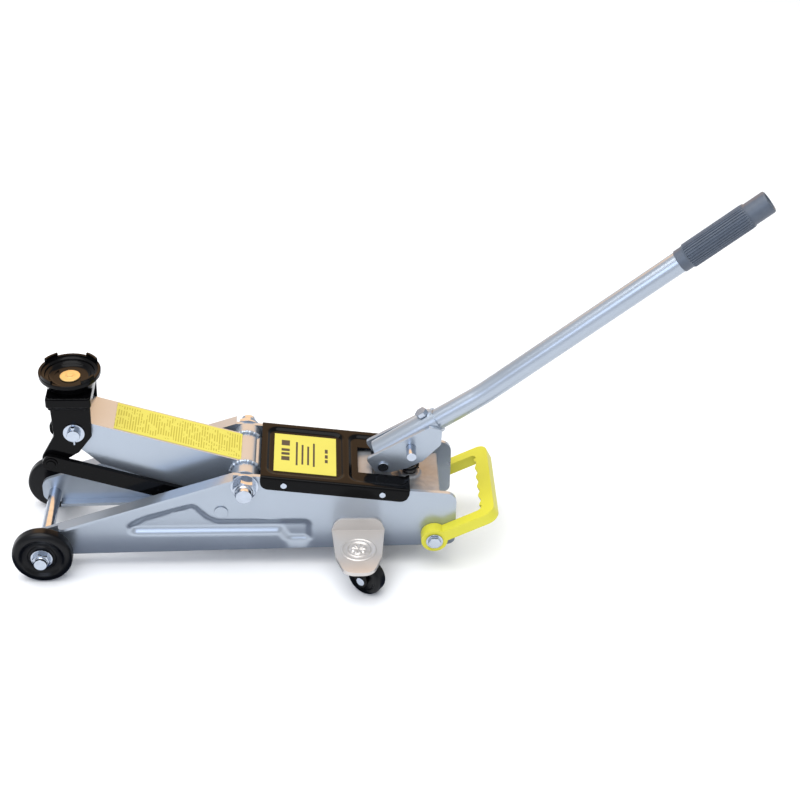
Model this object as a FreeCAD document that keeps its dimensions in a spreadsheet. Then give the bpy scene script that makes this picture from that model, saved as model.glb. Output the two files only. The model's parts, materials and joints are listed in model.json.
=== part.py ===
import FreeCAD, Part
import math
import os
import re

import Sketcher

# A small hydraulic trolley jack, two tonnes, drawn half raised.
# Millimetres. +X runs from the front axle to the handle, +Y to the jack's right, +Z up, floor at Z = 0.
# Every length along X below is a station measured from the front axle. The model's origin is on the
# floor, half way between the foremost point of the front wheels and the tip of the handle, and the
# station of that point is origin_x.

SIZES = {
    # side plates
    "frame_half": 46.0,          # centre line to the outer face of a side plate
    "plate_thick": 4.0,
    "nose_reach": 13.0,          # plate ahead of the front axle
    "nose_low": 18.0,            # underside of the plate at the front axle
    "nose_high": 50.0,           # top of the plate at the front axle
    "shoulder_gap": 3.0,         # upper end of the sloping front edge ahead of the pivot's bore
    "shoulder_z": 116.5,
    "tail_x": 415.5,
    "tail_low": 26.5,
    "tail_high": 90.0,
    "lip_width": 10.0,           # sloping edge folded outwards
    "lip_thick": 3.0,
    "lip_start": 16.0,
    "lip_round": 8.0,
    "foot_start": 6.0,
    "foot_stop": 12.0,           # foot ends ahead of the tail
    "foot_width": 9.0,           # lower edge folded inwards
    "foot_thick": 3.5,
    # cover plate
    "cover_back": 8.0,           # cover's front edge behind the pivot's bore
    "cover_z": 115.3,
    "cover_slope": 7.3,
    "cover_long": 149.8,
    "cover_over": 2.0,           # flap's outer face beyond the side plate's
    "cover_deep": 15.0,
    "cover_thick": 1.4,
    "pan_deep": 2.6,
    "pan_near": 7.0,
    "pan_long": 75.0,
    "pan_half": 38.5,
    "window_near": 98.0,
    "window_half": 21.0,
    "cover_screw_front": 24.0,
    "cover_screw_rear": 123.0,
    "cover_screw_down": 8.0,
    "cover_screw": 1.6,
    "cover_label_long": 63.0,
    "cover_label_half": 32.0,
    "label_thick": 0.3,
    "arm_label_front": 36.0,
    "arm_label_rear": 8.0,
    # lifting arm
    "pivot_x": 204.0,
    "pivot_z": 103.5,
    "pivot_radius": 8.0,
    "pivot_washer_over": 6.0,
    "pivot_washer_thick": 2.5,
    "pivot_nut_over": 5.5,
    "pivot_nut_high": 13.0,
    "boss_radius": 14.0,
    "arm_reach": 173.7,
    "arm_tilt": 17.9,
    "arm_half": 24.0,
    "arm_sheet": 4.0,
    "arm_crown": 12.0,
    "arm_belly": 38.0,
    "crank_radius": 42.0,
    "crank_lead": 13.2,          # crank angle behind straight down
    "crank_pin": 5.0,
    "roller_radius": 8.0,
    "eye_radius": 12.0,
    # saddle bracket
    "link_dx": 24.5,             # rod pin ahead of the arm's front pin
    "link_dz": 33.0,             # rod pin below the arm's front pin
    "bracket_sheet": 4.0,
    "bracket_half": 20.0,
    "bracket_centre": 3.0,       # saddle axis ahead of the arm's front pin
    "head_low": 29.6,
    "head_thick": 9.0,
    "front_pin": 6.5,
    # radius rods
    "rod_pin": 4.5,
    "rod_sheet": 5.0,
    "rod_inner": 30.0,
    "rod_half": 8.5,
    "anchor_radius": 6.0,
    # saddle
    "saddle_radius": 30.3,
    "saddle_foot": 23.0,
    "saddle_top": 211.8,
    "saddle_wall": 3.2,
    "saddle_floor": 8.0,
    "stem_radius": 9.0,
    "stem_low": 4.0,             # stem's end below the head
    "clip_over": 3.5,
    "tab_high": 3.6,
    "tab_wide": 15.0,
    # front wheels
    "wheel_radius": 30.4,
    "wheel_wide": 15.0,
    "wheel_gap": 8.1,            # side plate's outer face to the wheel
    "axle_radius": 6.5,
    "hub_inset": 2.5,            # hub face inside the wheel's outer face
    "axle_nut_over": 4.0,        # nut's corners beyond the thread
    "axle_nut_high": 8.0,
    "washer_over": 4.5,
    "washer_thick": 1.6,
    "stud_show": 4.5,            # thread end beyond its nut
    # rear castors
    "castor_x": 316.8,
    "castor_out": 34.0,          # kingpin beyond the side plate's outer face
    "tongue_top": 47.5,
    "tongue_thick": 4.0,
    "tongue_long": 70.0,
    "root_high": 14.0,           # tongue's root folded up against the side plate
    "root_thick": 2.5,
    "tongue_half": 27.0,
    "castor_trail": 10.0,
    "castor_yaw": 35.0,
    "castor_radius": 19.0,
    "castor_wide": 16.0,
    "fork_sheet": 2.5,
    "castor_axle": 3.0,
    "kingpin_radius": 5.0,
    # hydraulic unit
    "ram_z": 66.0,
    "ram_radius": 11.0,
    "piston_radius": 14.0,
    "cylinder_radius": 17.5,
    "tank_radius": 27.0,
    "tank_wall": 2.5,
    "block_x": 300.0,
    "block_stop": 15.5,          # casting ends ahead of the plates' tail
    "block_gap": 8.0,            # inner face of a side plate to the casting
    "block_low": 30.0,
    "block_high": 84.0,
    "shelf_in": 16.0,
    "shelf_long": 16.0,
    "shelf_high": 10.0,
    "lug_radius": 8.0,
    "lug_half": 9.0,
    "wing_long": 20.0,
    "wing_high": 26.0,
    "valve_radius": 4.0,
    "pad_thick": 14.0,
    "pad_gap": 1.2,
    "gland_x": 256.0,
    # pump and handle socket
    "hinge_x": 342.3,
    "hinge_z": 104.2,
    "hinge_radius": 4.0,
    "press_x": 370.0,
    "press_z": 126.5,
    "press_radius": 5.0,
    "press_gap": 1.9,
    "plunger_radius": 6.0,
    "handle_tilt": 34.2,
    "bend_x": 440.0,
    "bend_z": 178.6,
    "bend_angle": 5.5,
    "bend_radius": 340.0,
    "tip_run": 337.5,            # bend point to the tip of the handle
    "grip_run": 101.0,
    "tube_radius": 10.8,
    "tube_wall": 2.0,
    "grip_radius": 12.8,
    "grip_end": 11.6,
    "socket_radius": 13.2,
    "socket_wall": 2.2,          # below the handle's end
    "socket_fit": 0.2,           # play of the handle in its seat
    "cheek_sheet": 4.0,
    "socket_top": 397.5,
    # carrying handle
    "carry_ahead": 21.7,         # loop's hinge ahead of the plates' tail
    "carry_z": 40.7,
    "carry_eye": 13.4,
    "carry_bolt": 5.0,
    "carry_reach": 63.0,
    "carry_tilt": 27.0,
    "carry_thick": 12.0,
    # clearances
    "running": 0.06,             # radial play of a pin in its bore
    "gap": 0.4,                  # between faces that slide past each other
}

RISE = math.radians(SIZES["handle_tilt"] + SIZES["bend_angle"])
TIP_X = SIZES["bend_x"] + SIZES["tip_run"] * math.cos(RISE) + SIZES["grip_end"] * math.sin(RISE)
SIZES["origin_x"] = (TIP_X - SIZES["wheel_radius"]) / 2

doc = FreeCAD.newDocument("TrolleyJack")
sheet = doc.addObject("Spreadsheet::Sheet", "Sizes")
for row, (alias, number) in enumerate(SIZES.items(), start=1):
    sheet.set(f"A{row}", alias)
    sheet.set(f"B{row}", repr(number))
    sheet.setAlias(f"B{row}", alias)
doc.recompute()

PIECES = []
SIDES = {"left": -1, "right": 1}
X_AXIS = FreeCAD.Vector(1, 0, 0)
Y_AXIS = FreeCAD.Vector(0, 1, 0)
Z_AXIS = FreeCAD.Vector(0, 0, 1)
ALONG = {
    "x": FreeCAD.Rotation(Y_AXIS, 90),
    "y": FreeCAD.Rotation(X_AXIS, -90),
    "z": FreeCAD.Rotation(),
}
UPRIGHT = FreeCAD.Rotation()


# Places that follow from other sizes, written as expressions of the sheet.
SHOULDER_X = "(pivot_x - pivot_radius - shoulder_gap)"
COVER_X = "(pivot_x + pivot_radius + cover_back)"
COVER_HALF = "(frame_half + cover_over)"
WHEEL_NEAR = "(frame_half + wheel_gap)"
CASTOR_Y = "(frame_half + castor_out)"
BLOCK_END = "(tail_x - block_stop)"
BLOCK_HALF = "(frame_half - plate_thick - block_gap)"
CARRY_X = "(tail_x - carry_ahead)"


# ---- helpers: expressions, placements, solids -------------------------------------------------

def in_sheet(expression):
    """The expression with every alias written as a reference to the sheet."""
    def refer(match):
        word = match.group(0)
        return f"Sizes.{word}" if word in SIZES else word
    return re.sub(r"[a-z][a-z_]*", refer, str(expression))


def value(expression):
    """The expression's number now."""
    result = sheet.evalExpression(re.sub(r"Sizes\.", "", in_sheet(expression)))
    return float(getattr(result, "Value", result))


def bind(thing, prop, expression):
    """Tie one property of an object to the sheet."""
    thing.setExpression(prop, in_sheet(expression))


def place(thing, spot, turn=UPRIGHT):
    """Put an object at a station, height and side, and tie that place to the sheet."""
    thing.Placement = FreeCAD.Placement(FreeCAD.Vector(), turn)
    bind(thing, "Placement.Base.x", f"{spot[0]} - origin_x")
    bind(thing, "Placement.Base.y", spot[1])
    bind(thing, "Placement.Base.z", spot[2])
    return thing


def box(name, corner, size, turn=UPRIGHT):
    """A block from its low corner."""
    made = doc.addObject("Part::Box", name)
    for prop, expression in zip(("Length", "Width", "Height"), size):
        bind(made, prop, expression)
    return place(made, corner, turn)


def rod(name, radius, start, length, along="y"):
    """A round bar from its start point."""
    made = doc.addObject("Part::Cylinder", name)
    bind(made, "Radius", radius)
    bind(made, "Height", length)
    turn = along if isinstance(along, FreeCAD.Rotation) else ALONG[along]
    return place(made, start, turn)


def hexagon(name, across_corners, start, length, along="y"):
    """A nut or bolt head blank, given by its radius over the corners."""
    made = doc.addObject("Part::Prism", name)
    made.Polygon = 6
    bind(made, "Circumradius", across_corners)
    bind(made, "Height", length)
    turn = along if isinstance(along, FreeCAD.Rotation) else ALONG[along]
    return place(made, start, turn)


def cut(name, base, *tools):
    """The base less the tools."""
    tool = tools[0] if len(tools) == 1 else fuse(f"{name}_tool", *tools)
    made = doc.addObject("Part::Cut", name)
    made.Base = base
    made.Tool = tool
    return made


def fuse(name, *shapes):
    """Several solids as one."""
    made = doc.addObject("Part::MultiFuse", name)
    made.Shapes = list(shapes)
    return made


def group(name, *shapes):
    """Separate solids kept in one piece list, such as a set of equal nuts."""
    made = doc.addObject("Part::Compound", name)
    made.Links = list(shapes)
    return made


def ring(name, outer, inner, start, length, along="y"):
    """A washer, bush or plain tube."""
    reach = f"({length}) + 2"
    back = dict(zip("xyz", start))
    if isinstance(along, str):
        back[along] = f"({back[along]}) - 1"
    body = rod(f"{name}_body", outer, start, length, along)
    bore = rod(f"{name}_bore", inner, tuple(back.values()), reach, along)
    return cut(name, body, bore)


def origin_plane(body, role):
    """One of the body's own origin planes."""
    return next(item for item in body.Origin.OriginFeatures if item.Role == role)


def outline(body, name, points, role="XZ_Plane"):
    """A closed sketch of straight sides, each corner tied to the sheet."""
    sketch = body.newObject("Sketcher::SketchObject", name)
    sketch.AttachmentSupport = [(origin_plane(body, role), "")]
    sketch.MapMode = "FlatFace"
    corners = [FreeCAD.Vector(value(point[0]), value(point[1]), 0) for point in points]
    count = len(corners)
    for index in range(count):
        side = Part.LineSegment(corners[index], corners[(index + 1) % count])
        sketch.addGeometry(side, False)
    for index in range(count):
        sketch.addConstraint(Sketcher.Constraint("Coincident", index, 2, (index + 1) % count, 1))
    for index, point in enumerate(points):
        for kind, number, expression in (("DistanceX", corners[index].x, point[0]),
                                         ("DistanceY", corners[index].y, point[1])):
            made = sketch.addConstraint(Sketcher.Constraint(kind, -1, 1, index, 1, number))
            sketch.setExpression(f"Constraints[{made}]", in_sheet(expression))
    return sketch


def pad(body, name, sketch, length, flip=False):
    """Material along the sketch's normal."""
    made = body.newObject("PartDesign::Pad", name)
    made.Profile = sketch
    made.Reversed = flip
    bind(made, "Length", length)
    return made


def round_edges(body, radius, wanted):
    """Round the straight edges whose two ends pass the test."""
    doc.recompute()
    base = body.Tip
    names = [f"Edge{index}" for index, edge in enumerate(base.Shape.Edges, start=1)
             if len(edge.Vertexes) == 2 and wanted(*[vertex.Point for vertex in edge.Vertexes])]
    made = body.newObject("PartDesign::Fillet", f"{body.Name}_round_{len(body.Group)}")
    made.Base = (base, names)
    bind(made, "Radius", radius)
    doc.recompute()


def round_corners(body, points, role="XZ_Plane"):
    """Round the upright edges at the outline's corners that name a radius."""
    doc.recompute()
    radii = sorted({point[2] for point in points if len(point) > 2}, key=str)
    for radius in radii:
        wanted = [(value(p[0]), value(p[1])) for p in points if len(p) > 2 and p[2] == radius]

        def at_corner(start, end):
            """Whether an edge stands upright over one of the corners with this radius."""
            upward = "z" if role == "XZ_Plane" else "y"
            flat = [(point.x, getattr(point, upward)) for point in (start, end)]
            upright = math.dist(*flat) < 0.001
            return upright and any(math.dist(flat[0], spot) < 0.01 for spot in wanted)
        round_edges(body, radius, at_corner)


def plate(name, points, thick, spot, turn=UPRIGHT, role="XZ_Plane", flip=True):
    """A flat piece: an outline padded to its thickness, its corners rounded."""
    body = doc.addObject("PartDesign::Body", name)
    sketch = outline(body, f"{name}_outline", points, role)
    pad(body, f"{name}_pad", sketch, thick, flip)
    round_corners(body, points, role)
    return place(body, spot, turn)


def turned(name, points, spot, turn=UPRIGHT, role="XZ_Plane"):
    """A turned piece: points are radius and height, turned about the sketch's upright axis."""
    body = doc.addObject("PartDesign::Body", name)
    sketch = outline(body, f"{name}_profile", points, role)
    made = body.newObject("PartDesign::Revolution", f"{name}_turning")
    made.Profile = sketch
    made.ReferenceAxis = (sketch, ["V_Axis"])
    made.Angle = 360
    return place(body, spot, turn)


def piece(thing, label):
    """Name a finished sub-part."""
    thing.Label = label
    PIECES.append(thing)
    return thing


def mirrored_y(side, near, length):
    """Low end of a bar that starts `near` from the centre line on one side."""
    return f"{near}" if side > 0 else f"-({near}) - ({length})"


# ---- frame: side plates, front axle, pins ------------------------------------------------------

SLOPE_UP = f"(shoulder_z - nose_high) / {SHOULDER_X}"
SLOPE_LOW = "(tail_low - nose_low) / tail_x"
COVER_FALL = "tan(cover_slope * 1deg)"


def side_plate(name, side):
    """Pressed web with a lip and a foot: web and foot grow inwards from the outer face, the lip outwards."""
    cover_under = f"cover_z - cover_thick - gap - {COVER_FALL} * cover_long"
    web = (
        ("-nose_reach", "nose_low", 10),
        ("tail_x", "tail_low", 8),
        ("tail_x", "tail_high", 12),
        (f"{COVER_X} + cover_long - 1", cover_under),
        (f"{COVER_X} + 2", "cover_z - cover_thick - gap"),
        (SHOULDER_X, "shoulder_z"),
        ("-nose_reach", f"nose_high - nose_reach * {SLOPE_UP}", 12),
    )
    body = doc.addObject("PartDesign::Body", f"{name}_body")
    sketch = outline(body, f"{name}_web", web)
    pad(body, f"{name}_sheet", sketch, "plate_thick", side < 0)
    round_corners(body, web)
    foot = (
        ("foot_start", f"nose_low + foot_start * {SLOPE_LOW}"),
        ("tail_x - foot_stop", f"nose_low + (tail_x - foot_stop) * {SLOPE_LOW}"),
        ("tail_x - foot_stop", f"nose_low + (tail_x - foot_stop) * {SLOPE_LOW} + foot_thick"),
        ("foot_start", f"nose_low + foot_start * {SLOPE_LOW} + foot_thick"),
    )
    lower = outline(body, f"{name}_foot_outline", foot)
    pad(body, f"{name}_foot", lower, "plate_thick + foot_width", side < 0)
    lip = (
        ("lip_start", f"nose_high + lip_start * {SLOPE_UP} - lip_thick"),
        (SHOULDER_X, "shoulder_z - lip_thick"),
        (SHOULDER_X, "shoulder_z"),
        ("lip_start", f"nose_high + lip_start * {SLOPE_UP}"),
    )
    upper = outline(body, f"{name}_lip_outline", lip)
    pad(body, f"{name}_lip", upper, "lip_width", side > 0)
    outer_edge = value("lip_width")
    front_end = value("lip_start")

    def at_lip_end(*ends):
        """Whether an edge is the outer corner at the lip's front end."""
        return all(abs(abs(end.y) - outer_edge) < 0.01 and abs(end.x - front_end) < 0.01 for end in ends)
    round_edges(body, "lip_round", at_lip_end)
    return place(body, ("0", f"{side} * frame_half", "0"))


def frame_plates():
    """Both side plates with their bores."""
    for label, side in SIDES.items():
        web = side_plate(f"side_plate_{label}", side)
        inner = mirrored_y(side, "frame_half - plate_thick - 1", "plate_thick + 2")
        bores = []
        for tag, radius, x, z in (
                ("axle", "axle_radius", "0", "wheel_radius"),
                ("pivot", "pivot_radius", "pivot_x", "pivot_z"),
                ("anchor", "anchor_radius", "pivot_x - link_dx", "pivot_z - link_dz"),
                ("carry", "carry_bolt", CARRY_X, "carry_z")):
            bores.append(rod(f"{label}_{tag}_hole", radius, (x, inner, z), "plate_thick + 2"))
        piece(cut(f"side_plate_{label}", web, *bores), f"side_plate_{label}")


def front_axle():
    """Round axle, its washers and its lock nuts."""
    end = f"{WHEEL_NEAR} + wheel_wide"
    tip = f"({end} + axle_nut_high + stud_show - 3)"
    bar = rod("front_axle", "axle_radius", ("0", f"-{tip}", "wheel_radius"), f"2 * {tip}")
    piece(bar, "front_axle")
    washers = []
    nuts = []
    for label, side in SIDES.items():
        inner = mirrored_y(side, "frame_half", f"{WHEEL_NEAR} - frame_half - gap")
        washers.append(ring(f"axle_spacer_{label}", "axle_radius + washer_over - 1", "axle_radius",
                            ("0", inner, "wheel_radius"), f"{WHEEL_NEAR} - frame_half - gap"))
        outer = mirrored_y(side, f"{end} - hub_inset + gap", "washer_thick")
        washers.append(ring(f"axle_washer_{label}", "axle_radius + washer_over", "axle_radius",
                            ("0", outer, "wheel_radius"), "washer_thick"))
        seat = mirrored_y(side, f"{end} - hub_inset + washer_thick + gap", "axle_nut_high")
        blank = hexagon(f"axle_nut_blank_{label}", "axle_radius + axle_nut_over",
                        ("0", seat, "wheel_radius"), "axle_nut_high")
        bore = rod(f"axle_nut_bore_{label}", "axle_radius", ("0", seat, "wheel_radius"), "axle_nut_high")
        nuts.append(cut(f"axle_nut_{label}", blank, bore))
    piece(group("axle_washers", *washers), "axle_washers")
    piece(group("axle_nuts", *nuts), "axle_nuts")


def front_wheels():
    """Solid wheels with a crowned tread and a dished outer face."""
    for label, side in SIDES.items():
        hub = "axle_radius + running"
        profile = (
            (hub, "0"),
            ("wheel_radius - 4", "0"),
            ("wheel_radius - 1.2", "2"),
            ("wheel_radius", "5"),
            ("wheel_radius", "wheel_wide - 7"),
            ("wheel_radius - 1.4", "wheel_wide - 3"),
            ("wheel_radius - 5", "wheel_wide - 0.4"),
            ("wheel_radius - 8", "wheel_wide"),
            ("wheel_radius - 11", "wheel_wide - 2"),
            ("wheel_radius - 12", "wheel_wide - 4.5"),
            ("axle_radius + 7.5", "wheel_wide - 4.5"),
            ("axle_radius + 6.5", "wheel_wide - hub_inset"),
            (hub, "wheel_wide - hub_inset"),
        )
        turn = FreeCAD.Rotation(X_AXIS, -90 * side)
        wheel = turned(f"front_wheel_{label}", profile, ("0", f"{side} * {WHEEL_NEAR}", "wheel_radius"), turn)
        piece(wheel, f"front_wheel_{label}")


def arm_pivot():
    """Shaft across the frame with a washer and a nut on each side."""
    end = "(frame_half + pivot_washer_thick + pivot_nut_high + stud_show)"
    shaft = rod("arm_pivot_shaft", "pivot_radius", ("pivot_x", f"-{end}", "pivot_z"), f"2 * {end}")
    piece(shaft, "arm_pivot_shaft")
    washers = []
    nuts = []
    for label, side in SIDES.items():
        at = mirrored_y(side, "frame_half", "pivot_washer_thick")
        washers.append(ring(f"pivot_washer_{label}", "pivot_radius + pivot_washer_over", "pivot_radius",
                            ("pivot_x", at, "pivot_z"), "pivot_washer_thick"))
        at = mirrored_y(side, "frame_half + pivot_washer_thick", "pivot_nut_high")
        blank = hexagon(f"pivot_nut_blank_{label}", "pivot_radius + pivot_nut_over",
                        ("pivot_x", at, "pivot_z"), "pivot_nut_high")
        bore = rod(f"pivot_nut_bore_{label}", "pivot_radius", ("pivot_x", at, "pivot_z"), "pivot_nut_high")
        nuts.append(cut(f"pivot_nut_{label}", blank, bore))
    piece(group("arm_pivot_washers", *washers), "arm_pivot_washers")
    piece(group("arm_pivot_nuts", *nuts), "arm_pivot_nuts")


def rod_anchors():
    """Shouldered rivets that carry the rear ends of the radius rods."""
    made = []
    x = "pivot_x - link_dx"
    z = "pivot_z - link_dz"
    for label, side in SIDES.items():
        head = mirrored_y(side, "frame_half", "1.5")
        shank = mirrored_y(side, "rod_inner - 0.5", "frame_half - rod_inner + 0.5")
        collar_long = "frame_half - plate_thick - rod_inner - rod_sheet - gap"
        collar = mirrored_y(side, "rod_inner + rod_sheet + gap", collar_long)
        inner_head = mirrored_y(side, "rod_inner - 0.5 - gap - 2", "2.5")
        made.append(fuse(
            f"anchor_{label}",
            rod(f"anchor_head_{label}", "anchor_radius + 1", (x, head, z), "1.5"),
            rod(f"anchor_shank_{label}", "anchor_radius", (x, shank, z), "frame_half - rod_inner + 0.5"),
            rod(f"anchor_collar_{label}", "anchor_radius + 3", (x, collar, z), collar_long),
            rod(f"anchor_end_{label}", "anchor_radius + 2", (x, inner_head, z), "2.5")))
    piece(group("rod_anchor_pins", *made), "rod_anchor_pins")


# ---- cover -------------------------------------------------------------------------------------

COVER_TURN = FreeCAD.Rotation(Y_AXIS, SIZES["cover_slope"])


def on_cover(along, across, down):
    """A point in the cover's own sloping axes, as station, side and height."""
    return (
        f"{COVER_X} + ({along}) * cos(cover_slope * 1deg) - ({down}) * sin(cover_slope * 1deg)",
        across,
        f"cover_z - ({along}) * sin(cover_slope * 1deg) - ({down}) * cos(cover_slope * 1deg)",
    )


def cover_block(name, along, half, down, long, deep):
    """A block lined up with the cover, centred on the jack."""
    corner = on_cover(along, f"-({half})", f"({down}) + ({deep})")
    return box(name, corner, (long, f"2 * ({half})", deep), COVER_TURN)


def cover():
    """Pressed cover: two side flaps, two sunk pans, a window for the handle socket."""
    second = "pan_near + pan_long + 8"
    second_long = f"cover_long - ({second}) - 2"
    skin = cover_block("cover_skin", "0", COVER_HALF, "0", "cover_long", "cover_deep")
    pan = cover_block("cover_pan", "pan_near", "pan_half", "-1", "pan_long", "pan_deep + 1")
    pan_rear = cover_block("cover_pan_rear", second, "pan_half", "-1", second_long, "pan_deep + 1")
    hollow = cover_block("cover_hollow", "-1", f"{COVER_HALF} - cover_thick", "cover_thick",
                         "cover_long + 2", "cover_deep")
    keep = cover_block("cover_keep", "pan_near - cover_thick", "pan_half + cover_thick", "0",
                       "pan_long + 2 * cover_thick", "pan_deep + cover_thick")
    keep_rear = cover_block("cover_keep_rear", f"{second} - cover_thick", "pan_half + cover_thick", "0",
                            f"{second_long} + 2 * cover_thick", "pan_deep + cover_thick")
    window = cover_block("cover_window", "window_near", "window_half", "-1",
                         "cover_long - window_near + 2", "cover_deep")
    core = cut("cover_core", hollow, keep, keep_rear)
    holes = []
    for label, side in SIDES.items():
        for tag in ("front", "rear"):
            start = mirrored_y(side, f"{COVER_HALF} - 4", "6")
            holes.append(rod(f"cover_hole_{label}_{tag}", "cover_screw",
                             on_cover(f"cover_screw_{tag}", start, "cover_screw_down"), "6"))
    body = cut("cover_plate", skin, pan, pan_rear, core, window, *holes)
    piece(body, "cover_plate")
    sticker = cover_block("cover_label", "(2 * pan_near + pan_long - cover_label_long) / 2",
                          "cover_label_half", "pan_deep - label_thick", "cover_label_long", "label_thick")
    piece(sticker, "cover_label")
    screws = []
    for label, side in SIDES.items():
        for tag in ("front", "rear"):
            head = mirrored_y(side, COVER_HALF, "1.4")
            shank = mirrored_y(side, "frame_half + gap", f"{COVER_HALF} - frame_half - gap")
            screws.append(fuse(
                f"cover_screw_{label}_{tag}",
                rod(f"cover_screw_head_{label}_{tag}", "2 * cover_screw",
                    on_cover(f"cover_screw_{tag}", head, "cover_screw_down"), "1.4"),
                rod(f"cover_screw_shank_{label}_{tag}", "cover_screw",
                    on_cover(f"cover_screw_{tag}", shank, "cover_screw_down"),
                    f"{COVER_HALF} - frame_half - gap")))
    piece(group("cover_screws", *screws), "cover_screws")


# ---- lifting arm -------------------------------------------------------------------------------

ARM_TURN = FreeCAD.Rotation(Y_AXIS, SIZES["arm_tilt"])
FRONT_X = "(pivot_x - arm_reach * cos(arm_tilt * 1deg))"
FRONT_Z = "(pivot_z + arm_reach * sin(arm_tilt * 1deg))"
CRANK_X = "(pivot_x + crank_radius * sin(crank_lead * 1deg))"
CRANK_Z = "(pivot_z - crank_radius * cos(crank_lead * 1deg))"
CRANK_U = "crank_radius * sin((crank_lead + arm_tilt) * 1deg)"
CRANK_V = "-crank_radius * cos((crank_lead + arm_tilt) * 1deg)"


def lift_arm():
    """Folded channel: two deep cheeks joined by a top plate, with a crank at the rear."""
    side_shape = (
        ("-arm_reach - 12", "arm_crown", 6),
        ("12", "arm_crown", 4),
        (f"{CRANK_U} + eye_radius", f"{CRANK_V} + 6", 10),
        (f"{CRANK_U} + eye_radius - 4", f"{CRANK_V} - eye_radius", 8),
        (f"{CRANK_U} - 14", f"{CRANK_V} - eye_radius + 1", 8),
        ("-60", "-arm_belly"),
        ("-arm_reach + 33", "-arm_belly + 6", 4),
        ("-arm_reach + 22", "-26"),
        ("-arm_reach + 6", "-18", 6),
        ("-arm_reach - 12", "-12", 10),
    )
    block = plate("arm_block", side_shape, "2 * arm_half", ("pivot_x", "-arm_half", "pivot_z"), ARM_TURN)
    inside = (
        ("-arm_reach - 30", "arm_crown - arm_sheet"),
        ("40", "arm_crown - arm_sheet"),
        ("40", "-crank_radius - 30"),
        ("-arm_reach - 30", "-crank_radius - 30"),
    )
    hollow = plate("arm_hollow", inside, "2 * (arm_half - arm_sheet)",
                   ("pivot_x", "-arm_half + arm_sheet", "pivot_z"), ARM_TURN)
    bores = (
        rod("arm_boss_hole", "boss_radius", ("pivot_x", "-arm_half - 1", "pivot_z"), "2 * arm_half + 2"),
        rod("arm_front_hole", "front_pin + running", (FRONT_X, "-arm_half - 1", FRONT_Z), "2 * arm_half + 2"),
        rod("arm_crank_hole", "crank_pin", (CRANK_X, "-arm_half - 1", CRANK_Z), "2 * arm_half + 2"),
    )
    piece(cut("lift_arm", block, hollow, *bores), "lift_arm")
    tube_end = "frame_half - plate_thick - gap"
    piece(ring("arm_pivot_tube", "boss_radius", "pivot_radius + running",
               ("pivot_x", f"-({tube_end})", "pivot_z"), f"2 * ({tube_end})"), "arm_pivot_tube")
    pin = rod("crank_pin", "crank_pin", (CRANK_X, "-arm_half", CRANK_Z), "2 * arm_half")
    piece(pin, "crank_pin")
    roller = ring("crank_roller", "roller_radius", "crank_pin + running",
                  (CRANK_X, "-arm_half + arm_sheet + gap", CRANK_Z), "2 * (arm_half - arm_sheet - gap)")
    piece(roller, "crank_roller")
    sticker = (
        ("-arm_reach + arm_label_front", "arm_crown"),
        ("-arm_label_rear", "arm_crown"),
        ("-arm_label_rear", "arm_crown + label_thick"),
        ("-arm_reach + arm_label_front", "arm_crown + label_thick"),
    )
    label = plate("arm_label", sticker, "2 * arm_half - 4", ("pivot_x", "-arm_half + 2", "pivot_z"), ARM_TURN)
    piece(label, "arm_label")


# ---- saddle bracket and saddle -----------------------------------------------------------------

ROD_X = f"({FRONT_X} - link_dx)"
ROD_Z = f"({FRONT_Z} - link_dz)"
SADDLE_X = f"({FRONT_X} - bracket_centre)"
BRACKET_IN = "(arm_half + 2 * gap)"


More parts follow.
